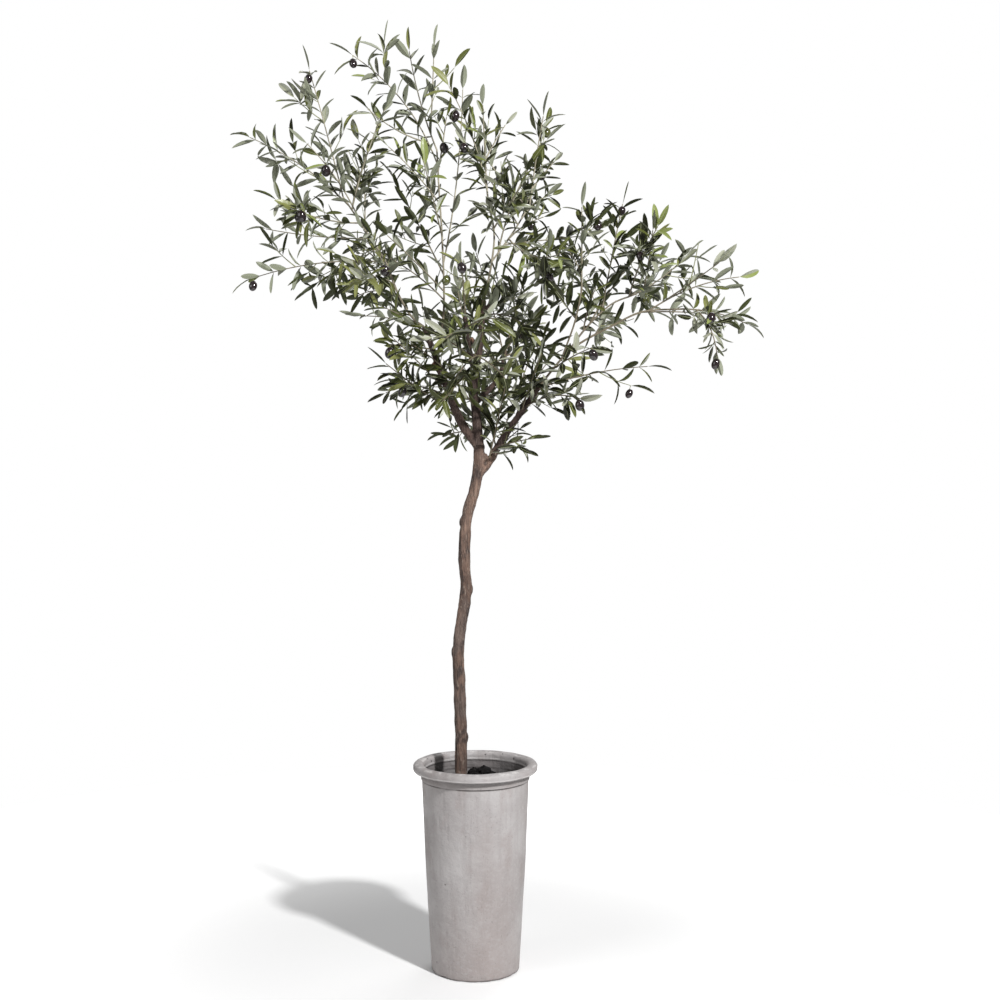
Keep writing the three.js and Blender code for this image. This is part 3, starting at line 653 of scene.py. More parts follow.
def in_photo(points):
    """Where points in millimetres fall in the photograph, in pixels"""
    offset = np.atleast_2d(points) - np.array(CAMERA_PLACE, float)
    ahead = offset @ np.array((0, math.cos(CAMERA_DOWN), -math.sin(CAMERA_DOWN)))
    above = offset @ np.array((0, math.sin(CAMERA_DOWN), math.cos(CAMERA_DOWN)))
    zoom = LENS / SENSOR * PHOTO_SIZE
    middle = PHOTO_SIZE / 2
    return np.stack((middle + zoom * offset[:, 0] / ahead, middle - zoom * above / ahead), axis=1)


class JoinedMesh:
    """Collects many small shapes, in millimetres, for one piece"""

    def __init__(self):
        self.points, self.faces, self.tints, self.count = [], [], [], 0

    def add(self, points, faces, tints):
        self.points.append(points)
        self.faces += [[index + self.count for index in face] for face in faces]
        self.tints += tints if isinstance(tints, list) else [tints] * len(faces)
        self.count += len(points)

    def piece(self, name, slot, materials, smooth_below):
        """One piece of all that was added, smooth where its faces turn by less than an angle in degrees"""
        mesh = bpy.data.meshes.new(name)
        mesh.from_pydata(np.concatenate(self.points) * MM, [], self.faces)
        for material in materials:
            mesh.materials.append(material)
        mesh.polygons.foreach_set("material_index", self.tints)
        mesh.update()
        piece = bpy.data.objects.new(name, mesh)
        bpy.context.scene.collection.objects.link(piece)
        make_active(piece)
        bpy.ops.object.shade_smooth_by_angle(angle=math.radians(smooth_below))
        return finished(piece, slot)


def make_active(piece):
    """Selects one object alone, in object mode"""
    if bpy.context.mode != "OBJECT":
        bpy.ops.object.mode_set(mode="OBJECT")
    bpy.ops.object.select_all(action="DESELECT")
    piece.select_set(True)
    bpy.context.view_layer.objects.active = piece


def finished(piece, slot, *nodes):
    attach(piece, BODY)
    if nodes:
        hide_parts(*nodes)
    return piece


def apply_modifier(piece, kind, **values):
    modifier = piece.modifiers.new(kind.lower(), kind)
    for name, value in values.items():
        setattr(modifier, name, value)
    bpy.ops.object.modifier_apply(modifier=modifier.name)


def turned_piece(name, profile, sides):
    """A closed turned shape: a disc at the first ring, drawn out ring by ring in edit mode"""
    bpy.ops.object.select_all(action="DESELECT")
    radius, height = profile[0]
    bpy.ops.mesh.primitive_circle_add(
        vertices=sides, radius=radius * MM, fill_type="NGON", location=(0, 0, height * MM),
    )
    piece = bpy.context.object
    piece.name = piece.data.name = name
    bpy.ops.object.transform_apply(location=True, rotation=True, scale=True)
    bpy.ops.object.mode_set(mode="EDIT")
    bpy.ops.mesh.select_all(action="SELECT")
    for (radius, height), (next_radius, next_height) in zip(profile, profile[1:]):
        rise = (next_height - height) * MM
        bpy.ops.mesh.extrude_region_move(TRANSFORM_OT_translate={"value": (0, 0, rise)})
        share = next_radius / radius
        bpy.ops.transform.resize(value=(share, share, 1), center_override=(0, 0, next_height * MM))
    bpy.ops.mesh.select_all(action="SELECT")
    bpy.ops.mesh.remove_doubles(threshold=0.00001)
    bpy.ops.mesh.normals_make_consistent(inside=False)
    bpy.ops.object.mode_set(mode="OBJECT")
    return piece


def tube(curve_points, radii, sides):
    """Points and faces of a closed tube along points"""
    points = np.array(curve_points)
    tangents = np.gradient(points, axis=0)
    side = np.cross(tangents[0], TUBE_START)
    rings = []
    for centre, tangent, radius in zip(points, tangents, radii):
        tangent = unit(tangent)
        side = unit(side - tangent * (side @ tangent))
        other = np.cross(tangent, side)
        turns = [2 * math.pi * i / sides for i in range(sides)]
        rings += [centre + radius * (side * math.cos(turn) + other * math.sin(turn)) for turn in turns]
    faces = []
    for ring in range(len(points) - 1):
        first = ring * sides
        for i in range(sides):
            after = (i + 1) % sides
            faces.append((first + i, first + after, first + sides + after, first + sides + i))
    faces.append(tuple(range(sides - 1, -1, -1)))
    faces.append(tuple(range(len(rings) - sides, len(rings))))
    return np.array(rings), faces


# Materials


def shader(name, color, roughness, **values):
    """A new material and its main shader"""
    material = bpy.data.materials.new(name)
    material.use_nodes = True
    main = material.node_tree.nodes["Principled BSDF"]
    main.inputs["Base Color"].default_value = (*color, 1)
    main.inputs["Roughness"].default_value = roughness
    for socket, value in values.items():
        main.inputs[socket.replace("_", " ")].default_value = value
    return material, main


def node(tree, kind, **values):
    """A new node, with each value given to its input of that name, or else to its own setting"""
    made = tree.nodes.new(kind)
    for name, value in values.items():
        if name in made.inputs:
            made.inputs[name].default_value = value
        else:
            setattr(made, name, value)
    return made


def group_tree(name, **inputs):
    """A new shader node group that puts out a mask, with its number inputs and their defaults"""
    tree = bpy.data.node_groups.new(name, "ShaderNodeTree")
    tree.interface.new_socket("Vector", in_out="INPUT", socket_type="NodeSocketVector")
    for socket, value in inputs.items():
        made = tree.interface.new_socket(socket, in_out="INPUT", socket_type="NodeSocketFloat")
        made.default_value = value
    tree.interface.new_socket("Mask", in_out="OUTPUT", socket_type="NodeSocketFloat")
    return tree, tree.nodes.new("NodeGroupInput"), tree.nodes.new("NodeGroupOutput")


def cloudy_group():
    """Soft clouds: noise at one scale, stretched upwards, going from 0 to 1 between two of its levels"""
    tree, given, result = group_tree("cloudy", Scale=10.0, Stretch=1.0, Detail=4.0, From=0.35, To=0.65)
    link = tree.links.new
    parts = tree.nodes.new("ShaderNodeSeparateXYZ")
    shorten = node(tree, "ShaderNodeMath", operation="DIVIDE")
    whole = tree.nodes.new("ShaderNodeCombineXYZ")
    clouds = tree.nodes.new("ShaderNodeTexNoise")
    levels = node(tree, "ShaderNodeMapRange", interpolation_type="SMOOTHSTEP")
    link(given.outputs["Vector"], parts.inputs["Vector"])
    link(parts.outputs["X"], whole.inputs["X"])
    link(parts.outputs["Y"], whole.inputs["Y"])
    link(parts.outputs["Z"], shorten.inputs[0])
    link(given.outputs["Stretch"], shorten.inputs[1])
    link(shorten.outputs["Value"], whole.inputs["Z"])
    link(whole.outputs["Vector"], clouds.inputs["Vector"])
    link(given.outputs["Scale"], clouds.inputs["Scale"])
    link(given.outputs["Detail"], clouds.inputs["Detail"])
    link(clouds.outputs["Fac"], levels.inputs["Value"])
    link(given.outputs["From"], levels.inputs["From Min"])
    link(given.outputs["To"], levels.inputs["From Max"])
    link(levels.outputs["Result"], result.inputs["Mask"])
    return tree


def pits_group():
    """Small scattered pits: 1 inside each pit and 0 outside"""
    tree, given, result = group_tree("pits", Scale=60.0, Size=0.16, Share=0.3)
    link = tree.links.new
    cells = tree.nodes.new("ShaderNodeTexVoronoi")
    hole = node(tree, "ShaderNodeMapRange", interpolation_type="SMOOTHSTEP")
    hole.inputs["From Max"].default_value = 0.0
    chosen = node(tree, "ShaderNodeMath", operation="LESS_THAN")
    both = node(tree, "ShaderNodeMath", operation="MULTIPLY")
    link(given.outputs["Vector"], cells.inputs["Vector"])
    link(given.outputs["Scale"], cells.inputs["Scale"])
    link(cells.outputs["Distance"], hole.inputs["Value"])
    link(given.outputs["Size"], hole.inputs["From Min"])
    link(cells.outputs["Color"], chosen.inputs[0])
    link(given.outputs["Share"], chosen.inputs[1])
    link(hole.outputs["Result"], both.inputs[0])
    link(chosen.outputs["Value"], both.inputs[1])
    link(both.outputs["Value"], result.inputs["Mask"])
    return tree


def band_group():
    """A level band: 1 at a height and 0 beyond its half width"""
    tree, given, result = group_tree("band", Height=0.1, Width=0.002)
    link = tree.links.new
    parts = tree.nodes.new("ShaderNodeSeparateXYZ")
    away = node(tree, "ShaderNodeMath", operation="SUBTRACT")
    size = node(tree, "ShaderNodeMath", operation="ABSOLUTE")
    levels = node(tree, "ShaderNodeMapRange", interpolation_type="SMOOTHSTEP")
    levels.inputs["From Max"].default_value = 0.0
    link(given.outputs["Vector"], parts.inputs["Vector"])
    link(parts.outputs["Z"], away.inputs[0])
    link(given.outputs["Height"], away.inputs[1])
    link(away.outputs["Value"], size.inputs[0])
    link(size.outputs["Value"], levels.inputs["Value"])
    link(given.outputs["Width"], levels.inputs["From Min"])
    link(levels.outputs["Result"], result.inputs["Mask"])
    return tree


def spot_group():
    """A frayed spot about a place: 1 in its middle and 0 beyond its size"""
    tree, given, result = group_tree("spot", X=0.0, Y=0.0, Z=0.0, Size=0.01, Fray=0.5)
    link = tree.links.new
    place = tree.nodes.new("ShaderNodeCombineXYZ")
    away = node(tree, "ShaderNodeVectorMath", operation="DISTANCE")
    clouds = node(tree, "ShaderNodeTexNoise", Scale=190.0, Detail=3.0)
    fray = node(tree, "ShaderNodeMath", operation="MULTIPLY_ADD")
    grown = node(tree, "ShaderNodeMath", operation="MULTIPLY")
    levels = node(tree, "ShaderNodeMapRange", interpolation_type="SMOOTHSTEP")
    levels.inputs["From Max"].default_value = 0.0
    for axis in "XYZ":
        link(given.outputs[axis], place.inputs[axis])
    link(given.outputs["Vector"], away.inputs[0])
    link(place.outputs["Vector"], away.inputs[1])
    link(given.outputs["Vector"], clouds.inputs["Vector"])
    link(clouds.outputs["Fac"], fray.inputs[0])
    link(given.outputs["Fray"], fray.inputs[1])
    fray.inputs[2].default_value = 0.75
    link(away.outputs["Value"], grown.inputs[0])
    link(fray.outputs["Value"], grown.inputs[1])
    link(grown.outputs["Value"], levels.inputs["Value"])
    link(given.outputs["Size"], levels.inputs["From Min"])
    link(levels.outputs["Result"], result.inputs["Mask"])
    return tree


def within_group():
    """1 nearer to the upright middle line than a radius, and 0 outside it"""
    tree, given, result = group_tree("within", Radius=0.1, Edge=0.001)
    link = tree.links.new
    flat = node(tree, "ShaderNodeVectorMath", operation="MULTIPLY")
    flat.inputs[1].default_value = (1, 1, 0)
    away = node(tree, "ShaderNodeVectorMath", operation="LENGTH")
    inner = node(tree, "ShaderNodeMath", operation="SUBTRACT")
    levels = node(tree, "ShaderNodeMapRange", interpolation_type="SMOOTHSTEP")
    link(given.outputs["Vector"], flat.inputs[0])
    link(flat.outputs["Vector"], away.inputs[0])
    link(given.outputs["Radius"], inner.inputs[0])
    link(given.outputs["Edge"], inner.inputs[1])
    link(away.outputs["Value"], levels.inputs["Value"])
    link(given.outputs["Radius"], levels.inputs["From Min"])
    link(inner.outputs["Value"], levels.inputs["From Max"])
    link(levels.outputs["Result"], result.inputs["Mask"])
    return tree


class Painter:
    """Lays masks and colours over one material's main shader"""

    def __init__(self, material, main):
        self.tree, self.main = material.node_tree, main
        self.place = self.tree.nodes.new("ShaderNodeTexCoord").outputs["Object"]

    def mask(self, group, **values):
        made = self.tree.nodes.new("ShaderNodeGroup")
        made.node_tree = bpy.data.node_groups[group]
        self.tree.links.new(self.place, made.inputs["Vector"])
        for name, value in values.items():
            made.inputs[name].default_value = value
        return made.outputs["Mask"]

    def spot(self, place, size, fray):
        x, y, z = place
        return self.mask("spot", X=x, Y=y, Z=z, Size=size, Fray=fray)

    def above(self, low, high):
        """A mask that goes from 0 to 1 between two heights"""
        parts = self.tree.nodes.new("ShaderNodeSeparateXYZ")
        levels = node(self.tree, "ShaderNodeMapRange", interpolation_type="SMOOTHSTEP")
        levels.inputs["From Min"].default_value = low
        levels.inputs["From Max"].default_value = high
        self.tree.links.new(self.place, parts.inputs["Vector"])
        self.tree.links.new(parts.outputs["Z"], levels.inputs["Value"])
        return levels.outputs["Result"]

    def color(self, mask, color, strength=1.0):
        """Lays a colour over what is there, through a mask"""
        base = self.main.inputs["Base Color"]
        blend = node(self.tree, "ShaderNodeMix", data_type="RGBA")
        if base.is_linked:
            self.tree.links.new(base.links[0].from_socket, blend.inputs["A"])
        else:
            blend.inputs["A"].default_value = base.default_value
        blend.inputs["B"].default_value = (*color, 1)
        self.tree.links.new(self.scaled(mask, strength), blend.inputs["Factor"])
        self.tree.links.new(blend.outputs["Result"], base)

    def both(self, mask, other):
        """A mask that holds only where two masks do"""
        times = node(self.tree, "ShaderNodeMath", operation="MULTIPLY")
        self.tree.links.new(mask, times.inputs[0])
        self.tree.links.new(other, times.inputs[1])
        return times.outputs["Value"]

    def scaled(self, mask, strength):
        if strength == 1.0:
            return mask
        times = node(self.tree, "ShaderNodeMath", operation="MULTIPLY")
        times.inputs[1].default_value = strength
        self.tree.links.new(mask, times.inputs[0])
        return times.outputs["Value"]

    def roughness(self, mask, low, high):
        levels = self.tree.nodes.new("ShaderNodeMapRange")
        levels.inputs["To Min"].default_value = low
        levels.inputs["To Max"].default_value = high
        self.tree.links.new(mask, levels.inputs["Value"])
        self.tree.links.new(levels.outputs["Result"], self.main.inputs["Roughness"])

    def bump(self, mask, depth, strength=1.0):
        """Raises the surface through a mask, over the bumps that are there; a negative depth sinks it"""
        bump = self.tree.nodes.new("ShaderNodeBump")
        bump.inputs["Distance"].default_value = abs(depth)
        bump.inputs["Strength"].default_value = strength
        bump.invert = depth < 0
        normal = self.main.inputs["Normal"]
        if normal.is_linked:
            self.tree.links.new(normal.links[0].from_socket, bump.inputs["Normal"])
        self.tree.links.new(mask, bump.inputs["Height"])
        self.tree.links.new(bump.outputs["Normal"], normal)


# Heights in metres between which a mask goes from 0 to 1
STAINED_FOOT = (0.16, 0.0)
INNER_WALL = (0.43, 0.445)
BELOW_RIM = (0.4915, 0.4865)
BOUGHS = (1.255, 1.3)
LOWER_TRUNK = (0.95, 0.6)
UPPER_STEMS = (1.5, 1.95)
# Dark lines round the pot: the height and half width of each in metres, and its strength. The first two are
# painted shade under the collar and in the groove under the rim; the last darkens the foot's bottom edge
POT_LINES = ((0.4682, 0.0034, 1.0), (0.4872, 0.0032, 0.95), (0.0, 0.0065, 0.85))
# Where painted light falls on the inner wall, and painted shade in the hollow between the trunk and the
# right bough
LIT_PLACE = (-0.09, 0.08, 0.48)
LIT_SIZE = 0.06
FORK_SHADE = (0.024, -0.009, 1.238)
FORK_SHADE_SIZE = 0.011
# As shares of the size of a knot or stub: the dark stain about a knot, partly painted shade, the worn scar
# below it, partly a painted highlight, and how far down it is, and the pale wood of a cut
KNOT_STAIN_AND_SHADE = 2.4
SCAR_AND_HIGHLIGHT_SIZE = 1.6
SCAR_DROP = 2.6
CUT_SIZE = 2.2
# Marks on the pot: where each is, its size and how deep it is, in metres
POT_MARKS = [
    (-0.071, -0.0971, 0.234, 0.0042, 0.0014), (-0.0925, -0.0579, 0.033, 0.005, 0.001),
    (0.0228, 0.1236, 0.501, 0.0036, 0.0014), (0.0664, 0.1101, 0.5059, 0.0044, 0.0014),
    (-0.119, 0.0487, 0.506, 0.0055, 0.001), (-0.1096, 0.061, 0.4974, 0.006, 0.001),
    (0.0936, 0.0835, 0.499, 0.007, 0.0008), (0.122, 0.029, 0.4974, 0.006, 0.0008),
    (0.1, -0.05, 0.39, 0.004, 0.001), (0.03, 0.117, 0.2, 0.007, 0.001),
]


def clay_material(settings):
    material, main = shader("fibre_clay", settings.clay, 0.7)
    paint = Painter(material, main)
    mask = paint.mask
    blotches = mask("cloudy", Scale=7.0, Stretch=2.0, Detail=7.0, From=0.44, To=0.62)
    paint.color(blotches, settings.clay_shade, 0.55)
    bleached = mask("cloudy", Scale=9.0, Stretch=1.3, Detail=6.0, From=0.44, To=0.68)
    paint.color(bleached, settings.clay_light, 0.6)
    warm = mask("cloudy", Scale=3.4, Stretch=3.0, Detail=4.0, From=0.5, To=0.66)
    paint.color(warm, settings.clay_warm, 0.55)
    paint.color(paint.above(*STAINED_FOOT), settings.clay_warm, 0.45)
    streaks = mask("cloudy", Scale=70.0, Stretch=14.0, Detail=5.0, From=0.48, To=0.66)
    paint.color(streaks, settings.clay_shade, 0.22)
    stains = mask("cloudy", Scale=26.0, Stretch=1.8, Detail=8.0, From=0.52, To=0.66)
    paint.color(stains, settings.clay_warm, 0.4)
    flecks = mask("cloudy", Scale=95.0, Stretch=0.8, Detail=6.0, From=0.48, To=0.72)
    paint.color(flecks, settings.clay_light, 0.24)
    # Painted shade on the collar, under the overhanging rim
    paint.color(mask("band", Height=0.477, Width=0.014), settings.clay_shade, 0.75)
    specks = mask("cloudy", Scale=210.0, Detail=4.0, From=0.6, To=0.72)
    paint.color(specks, settings.clay_dirt_and_shade, 0.22)
    patches = mask("cloudy", Scale=16.0, Stretch=0.6, Detail=4.0, From=0.22, To=0.48)
    worn = mask("cloudy", Scale=40.0, Stretch=0.4, Detail=5.0, From=0.5, To=0.62)
    # Painted shade under the collar and in the rim's groove, and the darker foot edge, broken up by patches
    for height, width, strength in POT_LINES:
        line = mask("band", Height=height, Width=width)
        paint.color(paint.both(line, patches), settings.clay_dirt_and_shade, strength)
    # Painted highlights along the top of the rim and along its lower lip
    rim = mask("band", Height=0.5075, Width=0.004)
    paint.color(paint.both(rim, worn), settings.clay_highlight, 0.7)
    lip = mask("band", Height=0.4925, Width=0.0024)
    paint.color(paint.both(lip, patches), settings.clay_highlight, 0.75)
    # Painted shade over the inner wall below the rim
    inside = paint.both(mask("within", Radius=0.1275, Edge=0.004), paint.above(*INNER_WALL))
    inside = paint.both(inside, paint.above(*BELOW_RIM))
    paint.color(inside, settings.clay_inside_shade, 0.95)
    lit = paint.spot(LIT_PLACE, LIT_SIZE, 0.5)
    paint.color(paint.both(inside, lit), settings.clay, 0.36)
    paint.color(paint.both(inside, worn), settings.clay_dirt_and_shade, 0.7)
    pits = mask("pits", Scale=40.0, Size=0.085, Share=0.1)
    paint.color(pits, settings.clay_dirt_and_shade, 0.85)
    grain = mask("cloudy", Scale=240.0, Detail=4.0, From=0.2, To=0.8)
    waves = mask("cloudy", Scale=30.0, Stretch=0.8, Detail=4.0, From=0.2, To=0.8)
    paint.roughness(waves, 0.42, 0.7)
    paint.bump(waves, 0.0024, 0.7)
    paint.bump(streaks, -0.0004)
    paint.bump(grain, 0.0006, 0.7)
    paint.bump(pits, -0.0012)
    for *place, size, depth in POT_MARKS:
        mark = paint.spot(place, size, 1.2)
        paint.color(mark, settings.clay_dirt_and_shade, 0.9)
        paint.bump(mark, -depth)
    return material


def soil_material():
    material, main = shader("dark_mulch", (0.0035, 0.003, 0.003), 0.9, Specular_IOR_Level=0.2)
    paint = Painter(material, main)
    paint.color(paint.mask("cloudy", Scale=70.0, Detail=4.0, From=0.55, To=0.72), (0.014, 0.01, 0.008))
    grain = paint.mask("cloudy", Scale=260.0, Detail=4.0, From=0.2, To=0.8)
    paint.roughness(grain, 0.75, 1.0)
    paint.bump(grain, 0.001)
    return material


def bark_material(settings, knots, cuts):
    """Fibrous bark, darker above the fork and, partly as painted shade, about the knots, and pale at the
    bare cuts
    """
    material, main = shader("bark", settings.bark, 0.8)
    paint = Painter(material, main)
    mask = paint.mask
    warm = mask("cloudy", Scale=30.0, Stretch=2.2, Detail=5.0, From=0.44, To=0.58)
    paint.color(warm, settings.bark_light, 0.8)
    grey = mask("cloudy", Scale=24.0, Stretch=2.6, Detail=5.0, From=0.5, To=0.62)
    paint.color(grey, settings.bark_grey, 0.6)
    hollows = mask("cloudy", Scale=42.0, Stretch=1.6, Detail=7.0, From=0.53, To=0.64)
    paint.color(hollows, settings.bark_dark, 0.8)
    cracks = mask("cloudy", Scale=85.0, Stretch=13.0, Detail=4.0, From=0.5, To=0.6)
    paint.color(cracks, settings.bark_dark, 0.45)
    fibres = mask("cloudy", Scale=210.0, Stretch=9.0, Detail=6.0, From=0.42, To=0.62)
    paint.color(fibres, settings.bark_dark, 0.4)
    worn = mask("cloudy", Scale=260.0, Stretch=5.0, Detail=5.0, From=0.55, To=0.68)
    paint.color(worn, settings.bark_worn, 0.65)
    paint.color(paint.above(*BOUGHS), settings.bough, 0.78)
    paint.color(paint.above(*LOWER_TRUNK), settings.bark_dark, 0.22)
    # Painted shade in the hollow of the fork
    paint.color(paint.spot(FORK_SHADE, FORK_SHADE_SIZE, 1.2), settings.bark_dark, 0.7)
    for place, size in knots:
        # About each knot a darker stain, partly painted shade, and below it a paler worn scar, partly a
        # painted highlight
        paint.color(paint.spot(place, KNOT_STAIN_AND_SHADE * size, 1.0), settings.bark_dark, 0.75)
        scar_and_highlight = paint.spot(place - UP * SCAR_DROP * size, SCAR_AND_HIGHLIGHT_SIZE * size, 1.2)
        paint.color(scar_and_highlight, settings.bark_worn, 0.35)
    for place, size in cuts:
        paint.color(paint.spot(place, CUT_SIZE * size, 0.6), settings.cut, 0.85)
    grain = mask("cloudy", Scale=340.0, Stretch=1.5, Detail=4.0, From=0.3, To=0.7)
    paint.roughness(grain, 0.62, 0.9)
    paint.bump(fibres, -0.0018)
    paint.bump(worn, 0.0008)
    paint.bump(grain, 0.0006, 0.7)
    return material


def stem_material(name, color, shade, pale):
    """Smooth young bark in a patchy colour, paler towards the top of the tree, partly as painted light"""
    material, main = shader(name, color, 0.6)
    paint = Painter(material, main)
    # Paler towards the top: partly the stems' own colour, partly painted light
    paint.color(paint.above(*UPPER_STEMS), pale)
    paint.color(paint.mask("cloudy", Scale=32.0, Stretch=1.0, Detail=4.0, From=0.45, To=0.7), shade, 0.6)
    grain = paint.mask("cloudy", Scale=420.0, Detail=3.0, From=0.25, To=0.75)
    paint.roughness(grain, 0.5, 0.72)
    paint.bump(grain, 0.0004, 0.7)
    return material


def leaf_material(name, color, roughness):
    """One plain tint of a leaf's face, with a satin surface"""
    material, main = shader(name, color, roughness, Specular_IOR_Level=0.34)
    paint = Painter(material, main)
    grain = paint.mask("cloudy", Scale=180.0, Detail=2.0, From=0.25, To=0.75)
    paint.roughness(grain, roughness - 0.06, roughness + 0.1)
    paint.bump(grain, 0.0003, 0.5)
    return material


def olive_material(name, color, blush):
    material, main = shader(name, color, 0.2, Specular_IOR_Level=0.6, Coat_Weight=0.8, Coat_Roughness=0.05)
    paint = Painter(material, main)
    bloom = paint.mask("cloudy", Scale=120.0, Detail=3.0, From=0.4, To=0.75)
    paint.roughness(bloom, 0.14, 0.28)
    paint.color(bloom, blush, 0.4)
    return material


# Pieces


def color_property(name, color, description):
    return FloatVectorProperty(
        name=name, description=description, default=color, size=3, subtype="COLOR", min=0, max=1,
    )


def length_property(name, metres, description):
    return FloatProperty(
        name=name, description=description, default=metres, min=0, unit="LENGTH", precision=4,
    )


class OLIVETREE_PG_pot(bpy.types.PropertyGroup):
    """The pot and its filling"""

    unevenness: length_property("Unevenness", 0.0022, "How far the hand-finished wall wanders in and out")
    lumps: IntProperty(name="Lumps", description="Bark lumps on the filling", default=190, min=0)
    clay: color_property("Clay", (0.33, 0.309, 0.306), "Main colour of the fibre clay")
    # Clay shade is also the painted shade on the collar under the rim
    clay_shade: color_property("Clay shade", (0.25, 0.226, 0.22), "Darker blotches of the clay")
    clay_light: color_property("Clay light", (0.42, 0.402, 0.4), "Lighter blotches of the clay")
    clay_warm: color_property("Clay warm", (0.28, 0.242, 0.232), "Warm patches of the clay")
    # Clay dirt and shade: dark specks, pits and marks, and the painted shade in the lines under rim and
    # collar
    clay_dirt_and_shade: color_property("Clay dirt", (0.05, 0.042, 0.038), "Dirt in grooves and pits")
    # Clay highlight: the painted highlights on the rim's top and lower lip
    clay_highlight: color_property("Clay edge", (0.56, 0.54, 0.53), "Worn edges of the rim")
    # The painted shade inside the pot
    clay_inside_shade: color_property("Clay inside", (0.02, 0.018, 0.02), "Stained inner wall")


class OLIVETREE_PG_bark(bpy.types.PropertyGroup):
    """The trunk, its boughs and the pale stems"""

    ridge: length_property("Ridge height", 0.0022, "Height of the ridges along the bark")
    skin_grid: length_property("Skin grid", 0.0021, "Size of the faces of the bark")
    bark: color_property("Bark", (0.135, 0.082, 0.06), "Main colour of the trunk")
    bark_light: color_property("Bark light", (0.235, 0.15, 0.112), "Warm patches of the trunk")
    bark_grey: color_property("Bark grey", (0.125, 0.095, 0.083), "Grey patches of the trunk")
    # Bark dark also paints the shade in the fork's hollow and, in part, about the knots
    bark_dark: color_property("Bark dark", (0.03, 0.019, 0.017), "Hollows and knots of the trunk")
    bark_worn: color_property("Bark worn", (0.3, 0.235, 0.19), "Worn flecks of the trunk")
    bough: color_property("Bough", (0.038, 0.02, 0.016), "Reddish brown of the boughs")
    cut: color_property("Cut", (0.36, 0.19, 0.11), "Bare wood of the cut stubs")
    stem: color_property("Stem", (0.15, 0.122, 0.08), "Tan of the long stems")
    # Paler near the top, partly as painted light on the upper stems
    stem_pale_and_lit: color_property("Stem at the top", (0.36, 0.33, 0.245), "Paler tan of the stems near the top")


class OLIVETREE_PG_foliage(bpy.types.PropertyGroup):
    """Leaves, twigs and olives"""

    leaf_length: length_property("Leaf length", 0.066, "Length of a full leaf")
    leaf_width: length_property("Leaf width", 0.0143, "Width of a full leaf")
    leaf_thickness: length_property("Leaf thickness", 0.0009, "Thickness of a leaf at its midrib")
    pair_step: length_property("Pair spacing", 0.0245, "Distance between pairs of leaves along a shoot")
    leaf_angle: FloatProperty(
        name="Leaf angle", description="Angle between a leaf and its shoot", default=math.radians(52),
        subtype="ANGLE",
    )
    stem_radius: length_property("Stem radius", 0.0021, "Radius of a spray's stem at its root")
    twig_radius: length_property("Twig radius", 0.0015, "Radius of a side twig at its root")
    overlap: length_property("Overlap", 0.03, "How far leaves may reach into the next mass")
    olive_length: length_property("Olive length", 0.0255, "Length of an olive")
    olive_width: length_property("Olive width", 0.0205, "Width of an olive")
    underside: color_property("Underside", (0.215, 0.23, 0.165), "Grey-green underside of a leaf")
    # Undersides of the darker leaves, given mostly inside the crown, where they are painted shade
    deep_underside: color_property("Deep underside", (0.038, 0.046, 0.013), "Underside of the darker leaves")
    rib: color_property("Rib", (0.24, 0.26, 0.14), "Pale middle rib of a leaf")
    sheen: color_property("Sheen", (0.275, 0.288, 0.23), "Paler half of some leaves")


class OLIVETREE_PG_stage(bpy.types.PropertyGroup):
    """Floor, backdrop light and lamps"""

    floor: color_property("Floor", (0.9, 0.9, 0.9), "Plain floor")
    floor_radius: length_property("Floor radius", 2.3, "Radius of the round floor")
    key: FloatProperty(name="Key light", description="Power of the main lamp", default=364, unit="POWER")
    fill: FloatProperty(name="Fill light", description="Power of the second lamp", default=46, unit="POWER")
    back: FloatProperty(name="Back light", description="Power of the lamp behind", default=60, unit="POWER")
    sky: FloatProperty(name="Sky", description="Strength of the even light from all sides", default=0.28)


def pot_side(height):
    share = height / COLLAR_BOTTOM
    return mix(POT_BASE_RADIUS, POT_NECK_RADIUS, share) + POT_BULGE * math.sin(math.pi * share)


def pot_profile():
    """Radius and height of each ring, up the outside, over the rolled rim and down the inside"""
    profile = []
    for turn in range(-90, 1, POT_EDGE_TURN):
        angle = math.radians(turn)
        radius = pot_side(POT_EDGE) - POT_EDGE + POT_EDGE * math.cos(angle)
        profile.append((radius, POT_EDGE + POT_EDGE * math.sin(angle)))
    steps = round(COLLAR_BOTTOM / POT_SIDE_STEP)
    for i in range(1, steps):
        height = mix(POT_EDGE, COLLAR_BOTTOM - 1, i / (steps - 1))
        profile.append((pot_side(height), height))
    collar = pot_side(COLLAR_BOTTOM) + COLLAR_STEP
    profile += [(collar - inset, COLLAR_BOTTOM + rise) for inset, rise in COLLAR_RINGS]
    for i in range(RIM_STEPS + 1):
        angle = math.radians(mix(RIM_START, RIM_END, i / RIM_STEPS))
        squareness = RIM_SQUARE_BELOW if angle < 0 else RIM_SQUARE_ABOVE
        out = math.copysign(abs(math.cos(angle)) ** squareness, math.cos(angle))
        rise = math.copysign(abs(math.sin(angle)) ** squareness, math.sin(angle))
        profile.append((RIM_RADIUS + RIM_HALF_WIDTH * out, RIM_CENTRE_HEIGHT + RIM_HALF_HEIGHT * rise))
    for height in POT_INSIDE:
        wall = mix(POT_WALL, POT_WALL_AT_TOP, height / POT_INSIDE[0])
        profile.append((pot_side(min(height, COLLAR_BOTTOM)) - wall, height))
    profile.append((POT_FLOOR_MIDDLE, POT_FLOOR))
    return profile


